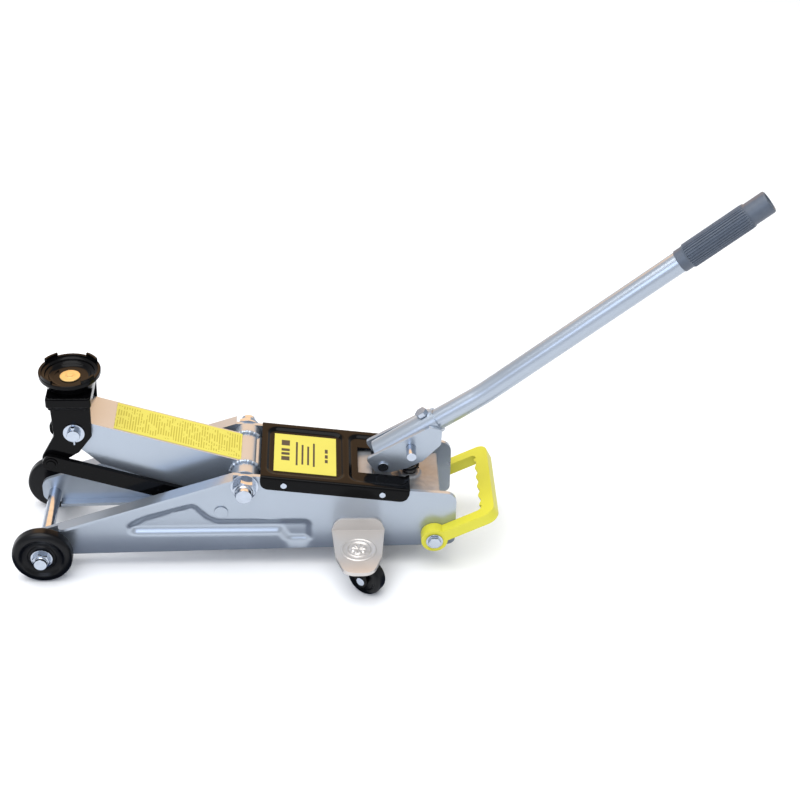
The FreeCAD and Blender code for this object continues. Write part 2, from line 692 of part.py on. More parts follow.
def saddle_bracket():
    """Two waisted cheeks welded under a thick head that carries the saddle."""
    sides = []
    profile = (
        ("-bracket_centre - bracket_half + 2", "head_low"),
        ("-bracket_centre + bracket_half + 1", "head_low"),
        ("-bracket_centre + bracket_half", "-5", 4),
        ("3", "-24", 4),
        ("-link_dx + 9.2", "-link_dz - 3", 7),
        ("-link_dx + 5", "-link_dz - 9.4", 7),
        ("-link_dx - 9.4", "-link_dz - 9.4", 8),
        ("-link_dx - 9.4", "-link_dz + 4", 8),
        ("-bracket_centre - bracket_half + 3", "-4", 4),
    )
    for label, side in SIDES.items():
        at = mirrored_y(side, BRACKET_IN, "bracket_sheet")
        cheek = plate(f"bracket_cheek_{label}", profile, "bracket_sheet", (FRONT_X, at, FRONT_Z))
        sides.append(cheek)
    span = f"({BRACKET_IN} + bracket_sheet)"
    holes = (
        rod("bracket_arm_hole", "front_pin", (FRONT_X, f"-{span} - 1", FRONT_Z), f"2 * {span} + 2"),
        rod("bracket_rod_hole", "rod_pin + gap", (ROD_X, f"-{span} - 1", ROD_Z), f"2 * {span} + 2"),
    )
    piece(cut("bracket_cheeks", group("bracket_pair", *sides), *holes), "bracket_cheeks")
    top = (
        ("-bracket_half - 2", f"-{span} - 1", 3),
        ("bracket_half + 2", f"-{span} - 1", 3),
        ("bracket_half + 2", f"{span} + 1", 3),
        ("-bracket_half - 2", f"{span} + 1", 3),
    )
    head = plate("bracket_head_blank", top, "head_thick", (SADDLE_X, "0", f"{FRONT_Z} + head_low"),
                 role="XY_Plane", flip=False)
    bore = rod("bracket_head_bore", "stem_radius + running", (SADDLE_X, "0", f"{FRONT_Z} + head_low - 1"),
               "head_thick + 2", "z")
    piece(cut("bracket_head", head, bore), "bracket_head")
    pin_half = f"({span} + 7)"
    pin = rod("arm_front_pin", "front_pin", (FRONT_X, f"-{pin_half}", FRONT_Z), f"2 * {pin_half}")
    piece(pin, "arm_front_pin")
    washers = []
    keys = []
    for label, side in SIDES.items():
        at = mirrored_y(side, span, "washer_thick")
        washers.append(ring(f"front_washer_{label}", "front_pin + 4", "front_pin",
                            (FRONT_X, at, FRONT_Z), "washer_thick"))
        spot = f"{side} * ({span} + 4)"
        keys.append(fuse(
            f"key_{label}",
            rod(f"key_leg_{label}", "1.1", (FRONT_X, spot, f"{FRONT_Z} - front_pin - 5"), "5", "z"),
            rod(f"key_eye_{label}", "2.2", (FRONT_X, spot, f"{FRONT_Z} + front_pin"), "3", "z")))
    piece(group("front_pin_washers", *washers), "front_pin_washers")
    piece(group("split_pins", *keys), "split_pins")


def saddle():
    """Round cup with four raised tabs on its rim, and the zinc-plated screw in its floor."""
    foot = f"({FRONT_Z} + head_low + head_thick + gap)"
    rim = f"(saddle_top - {foot})"
    cup = (
        ("0", "-head_thick - gap - stem_low"),
        ("stem_radius", "-head_thick - gap - stem_low"),
        ("stem_radius", "0"),
        ("saddle_foot", "0"),
        ("saddle_foot + 1", "4"),
        ("saddle_radius - 1", f"{rim} - 5"),
        ("saddle_radius", f"{rim} - 4"),
        ("saddle_radius", rim),
        ("saddle_radius - saddle_wall", rim),
        ("saddle_radius - saddle_wall - 2", f"{rim} - 4"),
        ("saddle_foot - 5", "saddle_floor + 0.6"),
        ("saddle_foot - 8", "saddle_floor"),
        ("0", "saddle_floor"),
    )
    body = turned("saddle_blank", cup, (SADDLE_X, "0", foot))
    tabs = []
    blank = ring("saddle_tab_ring", "saddle_radius", "saddle_radius - saddle_wall",
                 (SADDLE_X, "0", "saddle_top - 0.5"), "tab_high + 0.5", "z")
    for index in range(2):
        turn = FreeCAD.Rotation(Z_AXIS, 45 + 90 * index)
        corner = turn.multVec(FreeCAD.Vector(-value("saddle_radius") - 1, -value("tab_wide") / 2, 0))
        bar = box(f"saddle_tab_bar_{index}",
                  (f"{SADDLE_X} + ({corner.x})", f"{corner.y}", "saddle_top - 1"),
                  ("2 * saddle_radius + 2", "tab_wide", "tab_high + 2"), turn)
        tabs.append(bar)
    cross = fuse("saddle_cross", *tabs)
    crown = doc.addObject("Part::Common", "saddle_crown")
    crown.Base = blank
    crown.Tool = cross
    piece(fuse("saddle_cup", body, crown), "saddle_cup")
    screw = fuse(
        "saddle_screw",
        rod("saddle_screw_head", "10", (SADDLE_X, "0", f"{foot} + saddle_floor"), "1.4", "z"),
        rod("saddle_screw_dot", "3.4", (SADDLE_X, "0", f"{foot} + saddle_floor + 1.4"), "0.8", "z"))
    piece(screw, "saddle_screw")
    clip = rod("saddle_clip", "stem_radius + clip_over",
               (SADDLE_X, "0", f"{foot} - head_thick - 2 * gap - stem_low - 1.2"), "washer_thick", "z")
    piece(clip, "saddle_clip")


# ---- radius rods -------------------------------------------------------------------------------

def radius_rods():
    """Two flat bars that hold the saddle level, and the pin through their front ends."""
    turn = ARM_TURN
    for label, side in SIDES.items():
        bar_shape = (
            ("-arm_reach - rod_half", "-rod_half", "rod_half - 0.2"),
            ("rod_half", "-rod_half", "rod_half - 0.2"),
            ("rod_half", "rod_half", "rod_half - 0.2"),
            ("-arm_reach - rod_half", "rod_half", "rod_half - 0.2"),
        )
        at = mirrored_y(side, "rod_inner", "rod_sheet")
        bar = plate(f"radius_rod_blank_{label}", bar_shape, "rod_sheet",
                    ("pivot_x - link_dx", at, "pivot_z - link_dz"), turn)
        front = rod(f"radius_rod_front_{label}", "rod_pin", (ROD_X, f"({at}) - 1", ROD_Z), "rod_sheet + 2")
        rear = rod(f"radius_rod_rear_{label}", "anchor_radius + running",
                   ("pivot_x - link_dx", f"({at}) - 1", "pivot_z - link_dz"), "rod_sheet + 2")
        piece(cut(f"radius_rod_{label}", bar, front, rear), f"radius_rod_{label}")
    half = "(rod_inner + rod_sheet + 2.5)"
    piece(rod("rod_front_pin", "rod_pin", (ROD_X, f"-{half}", ROD_Z), f"2 * {half}"), "rod_front_pin")
    clips = []
    for label, side in SIDES.items():
        at = mirrored_y(side, "rod_inner + rod_sheet", "1.2")
        clips.append(ring(f"rod_clip_{label}", "rod_pin + 2", "rod_pin", (ROD_X, at, ROD_Z), "1.2"))
    piece(group("rod_pin_clips", *clips), "rod_pin_clips")


# ---- rear castors ------------------------------------------------------------------------------

def castors():
    """Tongues welded to the side plates, each with a trailing swivel castor under it."""
    pins = []
    for label, side in SIDES.items():
        reach = "tongue_long"
        tongue_shape = (
            ("-tongue_half", "0"),
            ("tongue_half", "0"),
            ("tongue_half - 4", f"{side} * ({reach} - 26)", 12),
            ("14", f"{side} * ({reach})", 14),
            ("-14", f"{side} * ({reach})", 14),
            ("-tongue_half + 4", f"{side} * ({reach} - 26)", 12),
        )
        tongue = plate(f"tongue_{label}", tongue_shape, "tongue_thick",
                       ("castor_x", f"{side} * frame_half", "tongue_top - tongue_thick"),
                       role="XY_Plane", flip=False)
        root = (
            ("-tongue_half", "-1"),
            ("tongue_half", "-1"),
            ("tongue_half - 5", "root_high", "root_high - 3"),
            ("5 - tongue_half", "root_high", "root_high - 3"),
        )
        weld = plate(f"tongue_root_{label}", root, "root_thick",
                     ("castor_x", mirrored_y(side, "frame_half", "root_thick"), "tongue_top"))
        hole = rod(f"tongue_hole_{label}", "kingpin_radius",
                   ("castor_x", f"{side} * {CASTOR_Y}", "tongue_top - 10"), "20", "z")
        whole = fuse(f"tongue_whole_{label}", tongue, weld)
        piece(cut(f"castor_bracket_{label}", whole, hole), f"castor_bracket_{label}")
        spot = ("castor_x", f"{side} * {CASTOR_Y}")
        pins.append(fuse(
            f"kingpin_{label}",
            rod(f"kingpin_head_{label}", "kingpin_radius + 3", (*spot, "tongue_top"), "1.8", "z"),
            rod(f"kingpin_shank_{label}", "kingpin_radius", (*spot, "tongue_top - tongue_thick - 4.4"),
                "tongue_thick + 4.4", "z"),
            rod(f"kingpin_race_{label}", "kingpin_radius + 6", (*spot, "tongue_top - tongue_thick - 1.2"),
                "1.2", "z")))
        castor(label, side)
    piece(group("kingpins", *pins), "kingpins")


def castor(label, side):
    """One fork, wheel and axle, trailing away from the frame."""
    yaw = side * value("castor_yaw")
    turn = FreeCAD.Rotation(Z_AXIS, yaw)
    lay = turn.multiply(FreeCAD.Rotation(X_AXIS, -90))
    top = "(tongue_top - tongue_thick - 1.2 - gap)"
    inner = "(castor_wide / 2 + gap + 0.2)"
    outer = f"({inner} + fork_sheet)"
    cosine = f"cos({yaw} * 1deg)"
    sine = f"sin({yaw} * 1deg)"

    def local(along, across, height):
        """A point in the castor's own axes: trail, side, height."""
        return (
            f"castor_x + ({along}) * {cosine} - ({across}) * {sine}",
            f"{side} * {CASTOR_Y} + ({along}) * {sine} + ({across}) * {cosine}",
            height,
        )

    deck = doc.addObject("Part::Cylinder", f"fork_deck_{label}")
    bind(deck, "Radius", outer + " + 1.5")
    bind(deck, "Height", "fork_sheet")
    place(deck, local("0", "0", f"{top} - fork_sheet"))
    legs = []
    leg_shape = (
        ("-11", "0"),
        ("12", "0"),
        ("castor_trail + 8", f"castor_radius - {top}", 6),
        ("castor_trail + 3", f"castor_radius - {top} - 7.5", 4),
        ("castor_trail - 5", f"castor_radius - {top} - 7.5", 4),
    )
    for tag, start in (("near", f"-{outer}"), ("far", inner)):
        legs.append(plate(f"fork_leg_{label}_{tag}", leg_shape, "fork_sheet", local("0", start, top), turn))
    solid = fuse(f"fork_solid_{label}", deck, *legs)
    king = rod(f"fork_king_hole_{label}", "kingpin_radius + running",
               local("0", "0", f"{top} - 6"), "12", "z")
    hub = rod(f"fork_axle_hole_{label}", "castor_axle",
              local("castor_trail", f"-{outer} - 1", "castor_radius"), f"2 * {outer} + 2", lay)
    piece(cut(f"castor_fork_{label}", solid, king, hub), f"castor_fork_{label}")
    shaft = rod(f"castor_axle_shank_{label}", "castor_axle",
                local("castor_trail", f"-{outer} - 1.2", "castor_radius"), f"2 * {outer} + 2.4", lay)
    heads = [rod(f"castor_axle_head_{label}_{tag}", "castor_axle + 1.6",
                 local("castor_trail", start, "castor_radius"), "1.2", lay)
             for tag, start in (("near", f"-{outer} - 1.2"), ("far", outer))]
    piece(fuse(f"castor_axle_{label}", shaft, *heads), f"castor_axle_{label}")
    profile = (
        ("castor_axle + running", "0"),
        ("castor_radius - 6", "0"),
        ("castor_radius - 2.5", "1"),
        ("castor_radius", "4.5"),
        ("castor_radius", "castor_wide - 4.5"),
        ("castor_radius - 2.5", "castor_wide - 1"),
        ("castor_radius - 6", "castor_wide"),
        ("castor_axle + running", "castor_wide"),
    )
    wheel = turned(f"castor_wheel_{label}", profile,
                   local("castor_trail", "-castor_wide / 2", "castor_radius"), lay)
    piece(wheel, f"castor_wheel_{label}")


# ---- hydraulic unit ----------------------------------------------------------------------------

def hydraulic_unit():
    """Cast block with the reservoir, the main cylinder and the handle hinge."""
    main = box("unit_main", ("block_x", f"-{BLOCK_HALF}", "block_low"),
               (f"{BLOCK_END} - block_x", f"2 * {BLOCK_HALF}", "block_high - block_low"))
    shelf = box("unit_shelf", ("block_x + shelf_in", f"-{BLOCK_HALF} + 8", "block_high - 1"),
                ("shelf_long", f"2 * {BLOCK_HALF} - 16", "shelf_high + 1"))
    lug = fuse(
        "unit_lug",
        box("unit_lug_foot", ("hinge_x - lug_radius", "-lug_half", "block_high - 1"),
            ("2 * lug_radius", "2 * lug_half", "hinge_z - block_high + 1")),
        rod("unit_lug_eye", "lug_radius", ("hinge_x", "-lug_half", "hinge_z"), "2 * lug_half"))
    wings = [box(f"unit_wing_{label}",
                 (f"{CARRY_X} - 14", mirrored_y(side, f"{BLOCK_HALF} - 1", "block_gap + 1"), "block_low"),
                 ("wing_long", "block_gap + 1", "wing_high"))
             for label, side in SIDES.items()]
    barrel = rod("unit_barrel", "plunger_radius + 5", ("press_x", "0", "block_high - 1"), "5", "z")
    solid = fuse("unit_solid", main, shelf, lug, barrel, *wings)
    bores = (
        rod("unit_ram_seat", "cylinder_radius", ("block_x - 1", "0", "ram_z"), "13", "x"),
        rod("unit_ram_bore", "piston_radius + running", ("block_x - 1", "0", "ram_z"), "51", "x"),
        rod("unit_hinge_bore", "hinge_radius + running", ("hinge_x", "-12", "hinge_z"), "24"),
        rod("unit_pump_bore", "plunger_radius + running", ("press_x", "0", "block_low + 12"), "100", "z"),
        rod("unit_valve_bore", "valve_radius + running",
            (f"{BLOCK_END} - 25", "0", "block_low + 8"), "31", "x"),
        rod("unit_bolt_bore", "carry_bolt", (CARRY_X, "-frame_half", "carry_z"), "2 * frame_half"),
    )
    piece(cut("power_unit_body", solid, *bores), "power_unit_body")
    piece(ring("oil_reservoir", "tank_radius", "tank_radius - tank_wall",
               ("gland_x + 8", "0", "ram_z"), "block_x - gland_x - 8", "x"), "oil_reservoir")
    piece(ring("ram_cylinder", "cylinder_radius", "piston_radius + running",
               ("gland_x + 8", "0", "ram_z"), "block_x - gland_x - 8 + 12", "x"), "ram_cylinder")
    hexed = hexagon("gland_blank", "tank_radius + 2", ("gland_x", "0", "ram_z"), "8", "x")
    bore = rod("gland_bore", "ram_radius + running", ("gland_x - 1", "0", "ram_z"), "10", "x")
    piece(cut("gland_nut", hexed, bore), "gland_nut")
    piece(rod("filler_plug", "5", ("block_x + 10", "0", "block_high"), "5", "z"), "filler_plug")
    valve_x = f"{BLOCK_END} - 24"
    spindle = fuse(
        "release_valve",
        rod("valve_spindle", "valve_radius", (valve_x, "0", "block_low + 8"), "34", "x"),
        rod("valve_head", "valve_radius + 2", (f"{valve_x} + 27", "0", "block_low + 8"), "7", "x"),
        rod("valve_pin", "1.8", (f"{valve_x} + 30.5", "-9", "block_low + 8"), "18"))
    piece(spindle, "release_valve")


def ram():
    """Piston rod and the pad that pushes the arm's crank roller."""
    face = f"({CRANK_X} + roller_radius + pad_gap)"
    pad_block = box("ram_pad", (face, "-13", "ram_z - 15"), ("pad_thick", "26", "30"))
    bore = rod("ram_pad_bore", "ram_radius - 3", (f"{face} + pad_thick - 8", "0", "ram_z"), "9", "x")
    piece(cut("ram_head", pad_block, bore), "ram_head")
    back = f"({face} + pad_thick)"
    piston_at = "(block_x + 16)"
    shank = fuse(
        "ram_rod",
        rod("ram_spigot", "ram_radius - 3", (f"{back} - 8", "0", "ram_z"), "9", "x"),
        rod("ram_shank", "ram_radius", (back, "0", "ram_z"), f"{piston_at} - {back} + 1", "x"),
        rod("ram_piston", "piston_radius", (piston_at, "0", "ram_z"), "12", "x"))
    piece(shank, "ram_rod")


# ---- pump, handle socket and handle ------------------------------------------------------------

HANDLE_TURN = FreeCAD.Rotation(Y_AXIS, 90 - SIZES["handle_tilt"])
LIE_TILT = FreeCAD.Rotation(Y_AXIS, -SIZES["handle_tilt"])


def on_axis(along, lift="0"):
    """A point on the socket's axis, by its station, lifted square to the axis."""
    return (
        f"({along}) - ({lift}) * sin(handle_tilt * 1deg)",
        f"bend_z + (({along}) - bend_x) * tan(handle_tilt * 1deg) + ({lift}) * cos(handle_tilt * 1deg)",
    )


def pump():
    """Plunger with its return spring and the cap under the press pin."""
    top = "(press_z - press_radius - press_gap)"
    stem = fuse(
        "pump_plunger",
        rod("plunger_stem", "plunger_radius", ("press_x", "0", "block_low + 34"),
            f"{top} - 3 - block_low - 34", "z"),
        rod("plunger_cap", "plunger_radius + 4", ("press_x", "0", f"{top} - 4"), "4", "z"))
    piece(stem, "pump_plunger")
    spring_low = "(block_high + 4.2)"
    turns = 5
    high = value(f"{top} - 4.3 - {spring_low}")
    wire = value("1.2")
    helix = doc.addObject("Part::Helix", "spring_path")
    helix.Pitch = (high - 2 * wire) / turns
    helix.Height = high - 2 * wire
    bind(helix, "Radius", "plunger_radius + 2.6")
    place(helix, ("press_x", "0", f"{spring_low} + 1.2"))
    profile = doc.addObject("Part::Circle", "spring_wire")
    profile.Radius = wire
    place(profile, ("press_x + plunger_radius + 2.6", "0", f"{spring_low} + 1.2"),
          FreeCAD.Rotation(X_AXIS, 90))
    coil = doc.addObject("Part::Sweep", "pump_spring")
    coil.Sections = [profile]
    coil.Spine = (helix, ["Edge1"])
    coil.Solid = True
    coil.Frenet = True
    piece(coil, "pump_spring")


def socket():
    """Tube, open underneath at its lower end, between two cheeks."""
    length = "((socket_top - hinge_x + 4) / cos(handle_tilt * 1deg))"
    low = "hinge_x - 4"
    x, z = on_axis(low)
    body = rod("socket_tube_body", "socket_radius", (x, "0", z), length, HANDLE_TURN)
    bx, bz = on_axis(f"{low} - 6")
    bore = rod("socket_tube_bore", "socket_radius - socket_wall", (bx, "0", bz),
               "(press_x + 9 - hinge_x + 10) / cos(handle_tilt * 1deg)", HANDLE_TURN)
    sx, sz = on_axis("press_x + 9")
    seat = rod("socket_seat_bore", "tube_radius + socket_fit", (sx, "0", sz), f"{length} + 10", HANDLE_TURN)
    mx, mz = on_axis(f"{low} - 6", "-20")
    mouth = box("socket_mouth", (mx, "-20", mz), ("(press_x + 12 - hinge_x + 10) / cos(handle_tilt * 1deg)",
                                                 "40", "20"), LIE_TILT)
    screw_x, screw_z = on_axis("socket_top - 8", "tube_radius - 0.3")
    screw_hole = rod("socket_screw_hole", "3", (screw_x, "0", screw_z), "8", LIE_TILT)
    press_hole = rod("socket_press_hole", "press_radius", ("press_x", "-socket_radius - 1", "press_z"),
                     "2 * socket_radius + 2")
    piece(cut("handle_socket", body, bore, seat, mouth, screw_hole, press_hole), "handle_socket")
    cheeks = []
    shape = (
        ("-17", "8", 3),
        ("-8", "-6.5", 3),
        ("8", "-7.5", 4),
        ("24", "-3", 10),
        ("40", "6", 10),
        ("58", "26", 6),
        ("58.5", "44", 3),
        ("46", "47", 2),
        ("-13", "11", 2),
    )
    for label, side in SIDES.items():
        at = mirrored_y(side, "socket_radius", "cheek_sheet")
        cheek = plate(f"socket_cheek_{label}", shape, "cheek_sheet", ("hinge_x", at, "hinge_z"))
        cheeks.append(cheek)
    span = "(socket_radius + cheek_sheet)"
    holes = (
        rod("cheek_hinge_hole", "hinge_radius", ("hinge_x", f"-{span} - 1", "hinge_z"), f"2 * {span} + 2"),
        rod("cheek_press_hole", "press_radius", ("press_x", f"-{span} - 1", "press_z"), f"2 * {span} + 2"),
    )
    piece(cut("socket_cheeks", group("socket_cheek_pair", *cheeks), *holes), "socket_cheeks")
    hinge_half = f"({span} + 2)"
    hinge = fuse(
        "socket_hinge_pin",
        rod("hinge_shank", "hinge_radius", ("hinge_x", f"-{hinge_half}", "hinge_z"), f"2 * {hinge_half}"),
        *[rod(f"hinge_head_{label}", "hinge_radius + 1.5",
              ("hinge_x", mirrored_y(side, span, "2"), "hinge_z"), "2") for label, side in SIDES.items()])
    piece(hinge, "socket_hinge_pin")
    press = fuse(
        "press_pin",
        rod("press_shank", "press_radius", ("press_x", f"-{span} - 16", "press_z"), f"2 * {span} + 20"),
        rod("press_head", "press_radius + 3", ("press_x", f"{span}", "press_z"), "4"))
    piece(press, "press_pin")
    head_x, head_z = on_axis("socket_top - 8", "socket_radius + 0.2")
    stem_x, stem_z = on_axis("socket_top - 8", "tube_radius")
    clamp = fuse(
        "clamp_bolt",
        hexagon("clamp_head", "6.5", (head_x, "0", head_z), "5", LIE_TILT),
        rod("clamp_stem", "3", (stem_x, "0", stem_z), "socket_radius - tube_radius + 1.6", LIE_TILT))
    piece(clamp, "clamp_bolt")


def handle():
    """Tube with one gentle bend, and the moulded grip at its end."""
    start_x, start_z = on_axis("press_x + 9")
    body = doc.addObject("PartDesign::Body", "handle_tube")
    run = value("(bend_x - press_x - 9) / cos(handle_tilt * 1deg)")
    bend = math.radians(value("bend_angle"))
    radius = value("bend_radius")
    tangent = radius * math.tan(bend / 2)
    upper = value("tip_run") - tangent - 4
    path = body.newObject("Sketcher::SketchObject", "handle_path")
    path.AttachmentSupport = [(origin_plane(body, "XZ_Plane"), "")]
    path.MapMode = "FlatFace"
    elbow = FreeCAD.Vector(0, run - tangent, 0)
    centre = FreeCAD.Vector(-radius, run - tangent, 0)
    leave = FreeCAD.Vector(radius * (math.cos(bend) - 1), elbow.y + radius * math.sin(bend), 0)
    tip = leave + FreeCAD.Vector(-math.sin(bend), math.cos(bend), 0) * upper
    path.addGeometry(Part.LineSegment(FreeCAD.Vector(), elbow), False)
    circle = Part.Circle(centre, Z_AXIS, radius)
    path.addGeometry(Part.ArcOfCircle(circle, 0, bend), False)
    path.addGeometry(Part.LineSegment(leave, tip), False)
    path.addConstraint(Sketcher.Constraint("Coincident", 0, 1, -1, 1))
    path.addConstraint(Sketcher.Constraint("Vertical", 0))
    path.addConstraint(Sketcher.Constraint("Tangent", 0, 2, 1, 1))
    path.addConstraint(Sketcher.Constraint("Tangent", 1, 2, 2, 1))
    lengths = (
        ("Radius", (1, radius), "bend_radius"),
        ("Distance", (0, run - tangent), "(bend_x - press_x - 9) / cos(handle_tilt * 1deg)"
                                         " - bend_radius * tan(bend_angle / 2 * 1deg)"),
        ("Distance", (2, upper), "tip_run - 4 - bend_radius * tan(bend_angle / 2 * 1deg)"),
    )
    for kind, settings, expression in lengths:
        made = path.addConstraint(Sketcher.Constraint(kind, *settings))
        path.setExpression(f"Constraints[{made}]", in_sheet(expression))
    section = body.newObject("Sketcher::SketchObject", "handle_section")
    section.AttachmentSupport = [(origin_plane(body, "XY_Plane"), "")]
    section.MapMode = "FlatFace"
    for expression in ("tube_radius", "tube_radius - tube_wall"):
        index = section.addGeometry(Part.Circle(FreeCAD.Vector(), Z_AXIS, value(expression)), False)
        section.addConstraint(Sketcher.Constraint("Coincident", index, 3, -1, 1))
        made = section.addConstraint(Sketcher.Constraint("Radius", index, value(expression)))
        section.setExpression(f"Constraints[{made}]", in_sheet(expression))
    doc.recompute()
    pipe = body.newObject("PartDesign::AdditivePipe", "handle_pipe")
    pipe.Profile = section
    pipe.Spine = (path, ["Edge1", "Edge2", "Edge3"])
    place(body, (start_x, "0", start_z), HANDLE_TURN)
    piece(body, "handle_tube")
    rise = "(handle_tilt + bend_angle) * 1deg"
    profile = (
        ("tube_radius", "0"),
        ("grip_end", "0"),
        ("grip_end", "9"),
        ("grip_radius", "11"),
        ("grip_radius", "grip_run - 24"),
        ("grip_end", "grip_run - 22"),
        ("grip_end", "grip_run"),
        ("0", "grip_run"),
        ("0", "grip_run - 3.5"),
        ("tube_radius", "grip_run - 3.5"),
    )
    turn = FreeCAD.Rotation(Y_AXIS, 90 - value("handle_tilt") - value("bend_angle"))
    grip = turned("handle_grip", profile,
                  (f"bend_x + (tip_run - grip_run) * cos({rise})", "0",
                   f"bend_z + (tip_run - grip_run) * sin({rise})"), turn)
    piece(grip, "handle_grip")


# ---- carrying handle ---------------------------------------------------------------------------

def carry_handle():
    """Moulded loop hinged on the sides of the frame, and its two bolts."""
    turn = FreeCAD.Rotation(Y_AXIS, -SIZES["carry_tilt"])
    near = "(frame_half + gap)"
    wide = f"({near} + carry_thick)"
    loop = (
        ("0", f"-{wide}"),
        ("carry_reach + 6.5", f"-{wide}", 12),
        ("carry_reach + 6.5", f"{wide}", 12),
        ("0", f"{wide}"),
        ("0", near),
        ("carry_reach - 6.5", near, 6),
        ("carry_reach - 6.5", f"-{near}", 6),
        ("0", f"-{near}"),
    )
    body = plate("carry_loop", loop, "carry_thick", (CARRY_X, "0", "carry_z"), turn,
                 role="XY_Plane", flip=False)
    half = "carry_thick / 2"
    bind(body, "Placement.Base.x", f"{CARRY_X} - origin_x + {half} * sin(carry_tilt * 1deg)")
    bind(body, "Placement.Base.z", f"carry_z - {half} * cos(carry_tilt * 1deg)")
    eyes = [rod(f"carry_eye_{label}", "carry_eye",
                (CARRY_X, mirrored_y(side, near, "carry_thick"), "carry_z"), "carry_thick")
            for label, side in SIDES.items()]
    bore = rod("carry_bore", "carry_bolt + running", (CARRY_X, f"-{wide} - 1", "carry_z"), f"2 * {wide} + 2")
    piece(cut("carry_handle", fuse("carry_whole", body, *eyes), bore), "carry_handle")
    bolts = []
    for label, side in SIDES.items():
        shank_long = f"({wide} - frame_half + plate_thick + gap + 16)"
        shank = mirrored_y(side, "frame_half - plate_thick - 16", shank_long)
        head = mirrored_y(side, f"{wide} + gap", "4.5")
        washer = mirrored_y(side, f"{wide} + gap", "1.4")
        bolts.append(fuse(
            f"carry_bolt_{label}",
            rod(f"carry_shank_{label}", "carry_bolt", (CARRY_X, shank, "carry_z"), shank_long),
            rod(f"carry_washer_{label}", "carry_bolt + 3.6", (CARRY_X, washer, "carry_z"), "1.4"),
            hexagon(f"carry_head_{label}", "carry_bolt + 1.6", (CARRY_X, head, "carry_z"), "4.5")))
    piece(group("carry_handle_bolts", *bolts), "carry_handle_bolts")


# ---- build and write ---------------------------------------------------------------------------

def check_and_write():
    """Recompute, refuse any failed object, and write one file for each sub-part."""
    doc.recompute()
    faults = [item.Name for item in doc.Objects if {"Invalid", "Error"} & set(item.State)]
    for thing in PIECES:
        if thing.Shape.isNull() or not thing.Shape.isValid() or not thing.Shape.Solids:
            faults.append(thing.Label)
    if faults:
        raise RuntimeError(f"failed objects: {faults}")
    os.makedirs("parts", exist_ok=True)
    for thing in PIECES:
        thing.Shape.exportStep(f"parts/{thing.Label}.step")
    print(f"{len(PIECES)} sub-parts, origin at station {SIZES['origin_x']:.3f} mm")


frame_plates()
front_axle()
front_wheels()
arm_pivot()
rod_anchors()
cover()
lift_arm()
saddle_bracket()
saddle()
radius_rods()
castors()
hydraulic_unit()
ram()
pump()
socket()
handle()
carry_handle()
check_and_write()
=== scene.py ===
import json
import math

import bpy
from mathutils import Matrix, Vector


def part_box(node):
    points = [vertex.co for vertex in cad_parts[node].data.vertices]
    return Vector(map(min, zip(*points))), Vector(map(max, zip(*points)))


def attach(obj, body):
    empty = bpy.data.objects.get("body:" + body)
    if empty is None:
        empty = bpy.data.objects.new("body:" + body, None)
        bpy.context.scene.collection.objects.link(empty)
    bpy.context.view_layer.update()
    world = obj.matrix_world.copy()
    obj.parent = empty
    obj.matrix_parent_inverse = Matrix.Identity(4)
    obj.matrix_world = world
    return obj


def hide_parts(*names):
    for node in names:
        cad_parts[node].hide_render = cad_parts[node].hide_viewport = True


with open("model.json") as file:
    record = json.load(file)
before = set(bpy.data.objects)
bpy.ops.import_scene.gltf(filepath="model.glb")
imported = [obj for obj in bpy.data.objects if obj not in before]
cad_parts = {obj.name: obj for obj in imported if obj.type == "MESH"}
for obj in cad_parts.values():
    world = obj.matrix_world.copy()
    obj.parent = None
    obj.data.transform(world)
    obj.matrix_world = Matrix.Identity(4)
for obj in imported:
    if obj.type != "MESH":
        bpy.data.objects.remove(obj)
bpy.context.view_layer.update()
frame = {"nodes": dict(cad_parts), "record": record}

MM = 0.001


# ---- Studio -------------------------------------------------------------------------------------
# A pale seamless floor, one broad soft light overhead, a cool fill on the near side, a warm amber
# card behind that the upward faces mirror, and a dark blue strip that the near faces mirror.

def linear(code):
    """An sRGB hex code as linear red, green, blue and alpha."""
    values = [int(code[index:index + 2], 16) / 255 for index in (1, 3, 5)]
    return (*[v / 12.92 if v <= 0.04045 else ((v + 0.055) / 1.055) ** 2.4 for v in values], 1.0)


def add(tree, kind, settings=None, **links):
    """One node with its properties, its socket values and its links."""
    made = tree.nodes.new(kind)
    for name, value in (settings or {}).items():
        if isinstance(name, int) or name in made.inputs:
            made.inputs[name].default_value = value
        else:
            setattr(made, name, value)
    for name, source in links.items():
        socket = made.inputs[int(name[1:])] if name[0] == "_" else made.inputs[name.replace("_", " ")]
        tree.links.new(source, socket)
    return made


def area_light(name, spot, target, size, power, colour):
    """A soft rectangular light that faces a point."""
    data = bpy.data.lights.new(name, "AREA")
    data.shape = "RECTANGLE"
    data.size, data.size_y = size
    data.energy = power
    data.color = linear(colour)[:3]
    lamp = bpy.data.objects.new(name, data)
    lamp.location = spot
    lamp.rotation_euler = (Vector(target) - Vector(spot)).to_track_quat("-Z", "Y").to_euler()
    bpy.context.scene.collection.objects.link(lamp)
    return lamp


area_light("overhead", (-0.5, -0.4, 2.4), (0, 0, 0), (2.6, 2.2), 58, "#FFFFFF")
area_light("near_fill", (-0.9, -2.2, 1.5), (0, 0, 0.1), (1.6, 0.9), 16, "#D6E4FF")
card = area_light("amber_card", (0.1, 2.4, 1.7), (0, 0, 0.1), (3.4, 2.3), 40, "#FFB43E")
card.visible_diffuse = False

bpy.ops.object.select_all(action="DESELECT")
bpy.ops.mesh.primitive_plane_add(size=14)
floor = bpy.context.object
floor.name = "floor"
paper = bpy.data.materials.new("white_paper_floor")
paper.use_nodes = True
paper_shader = paper.node_tree.nodes["Principled BSDF"]
paper_shader.inputs["Base Color"].default_value = linear("#FBFBFB")
paper_shader.inputs["Roughness"].default_value = 0.9
floor.data.materials.append(paper)

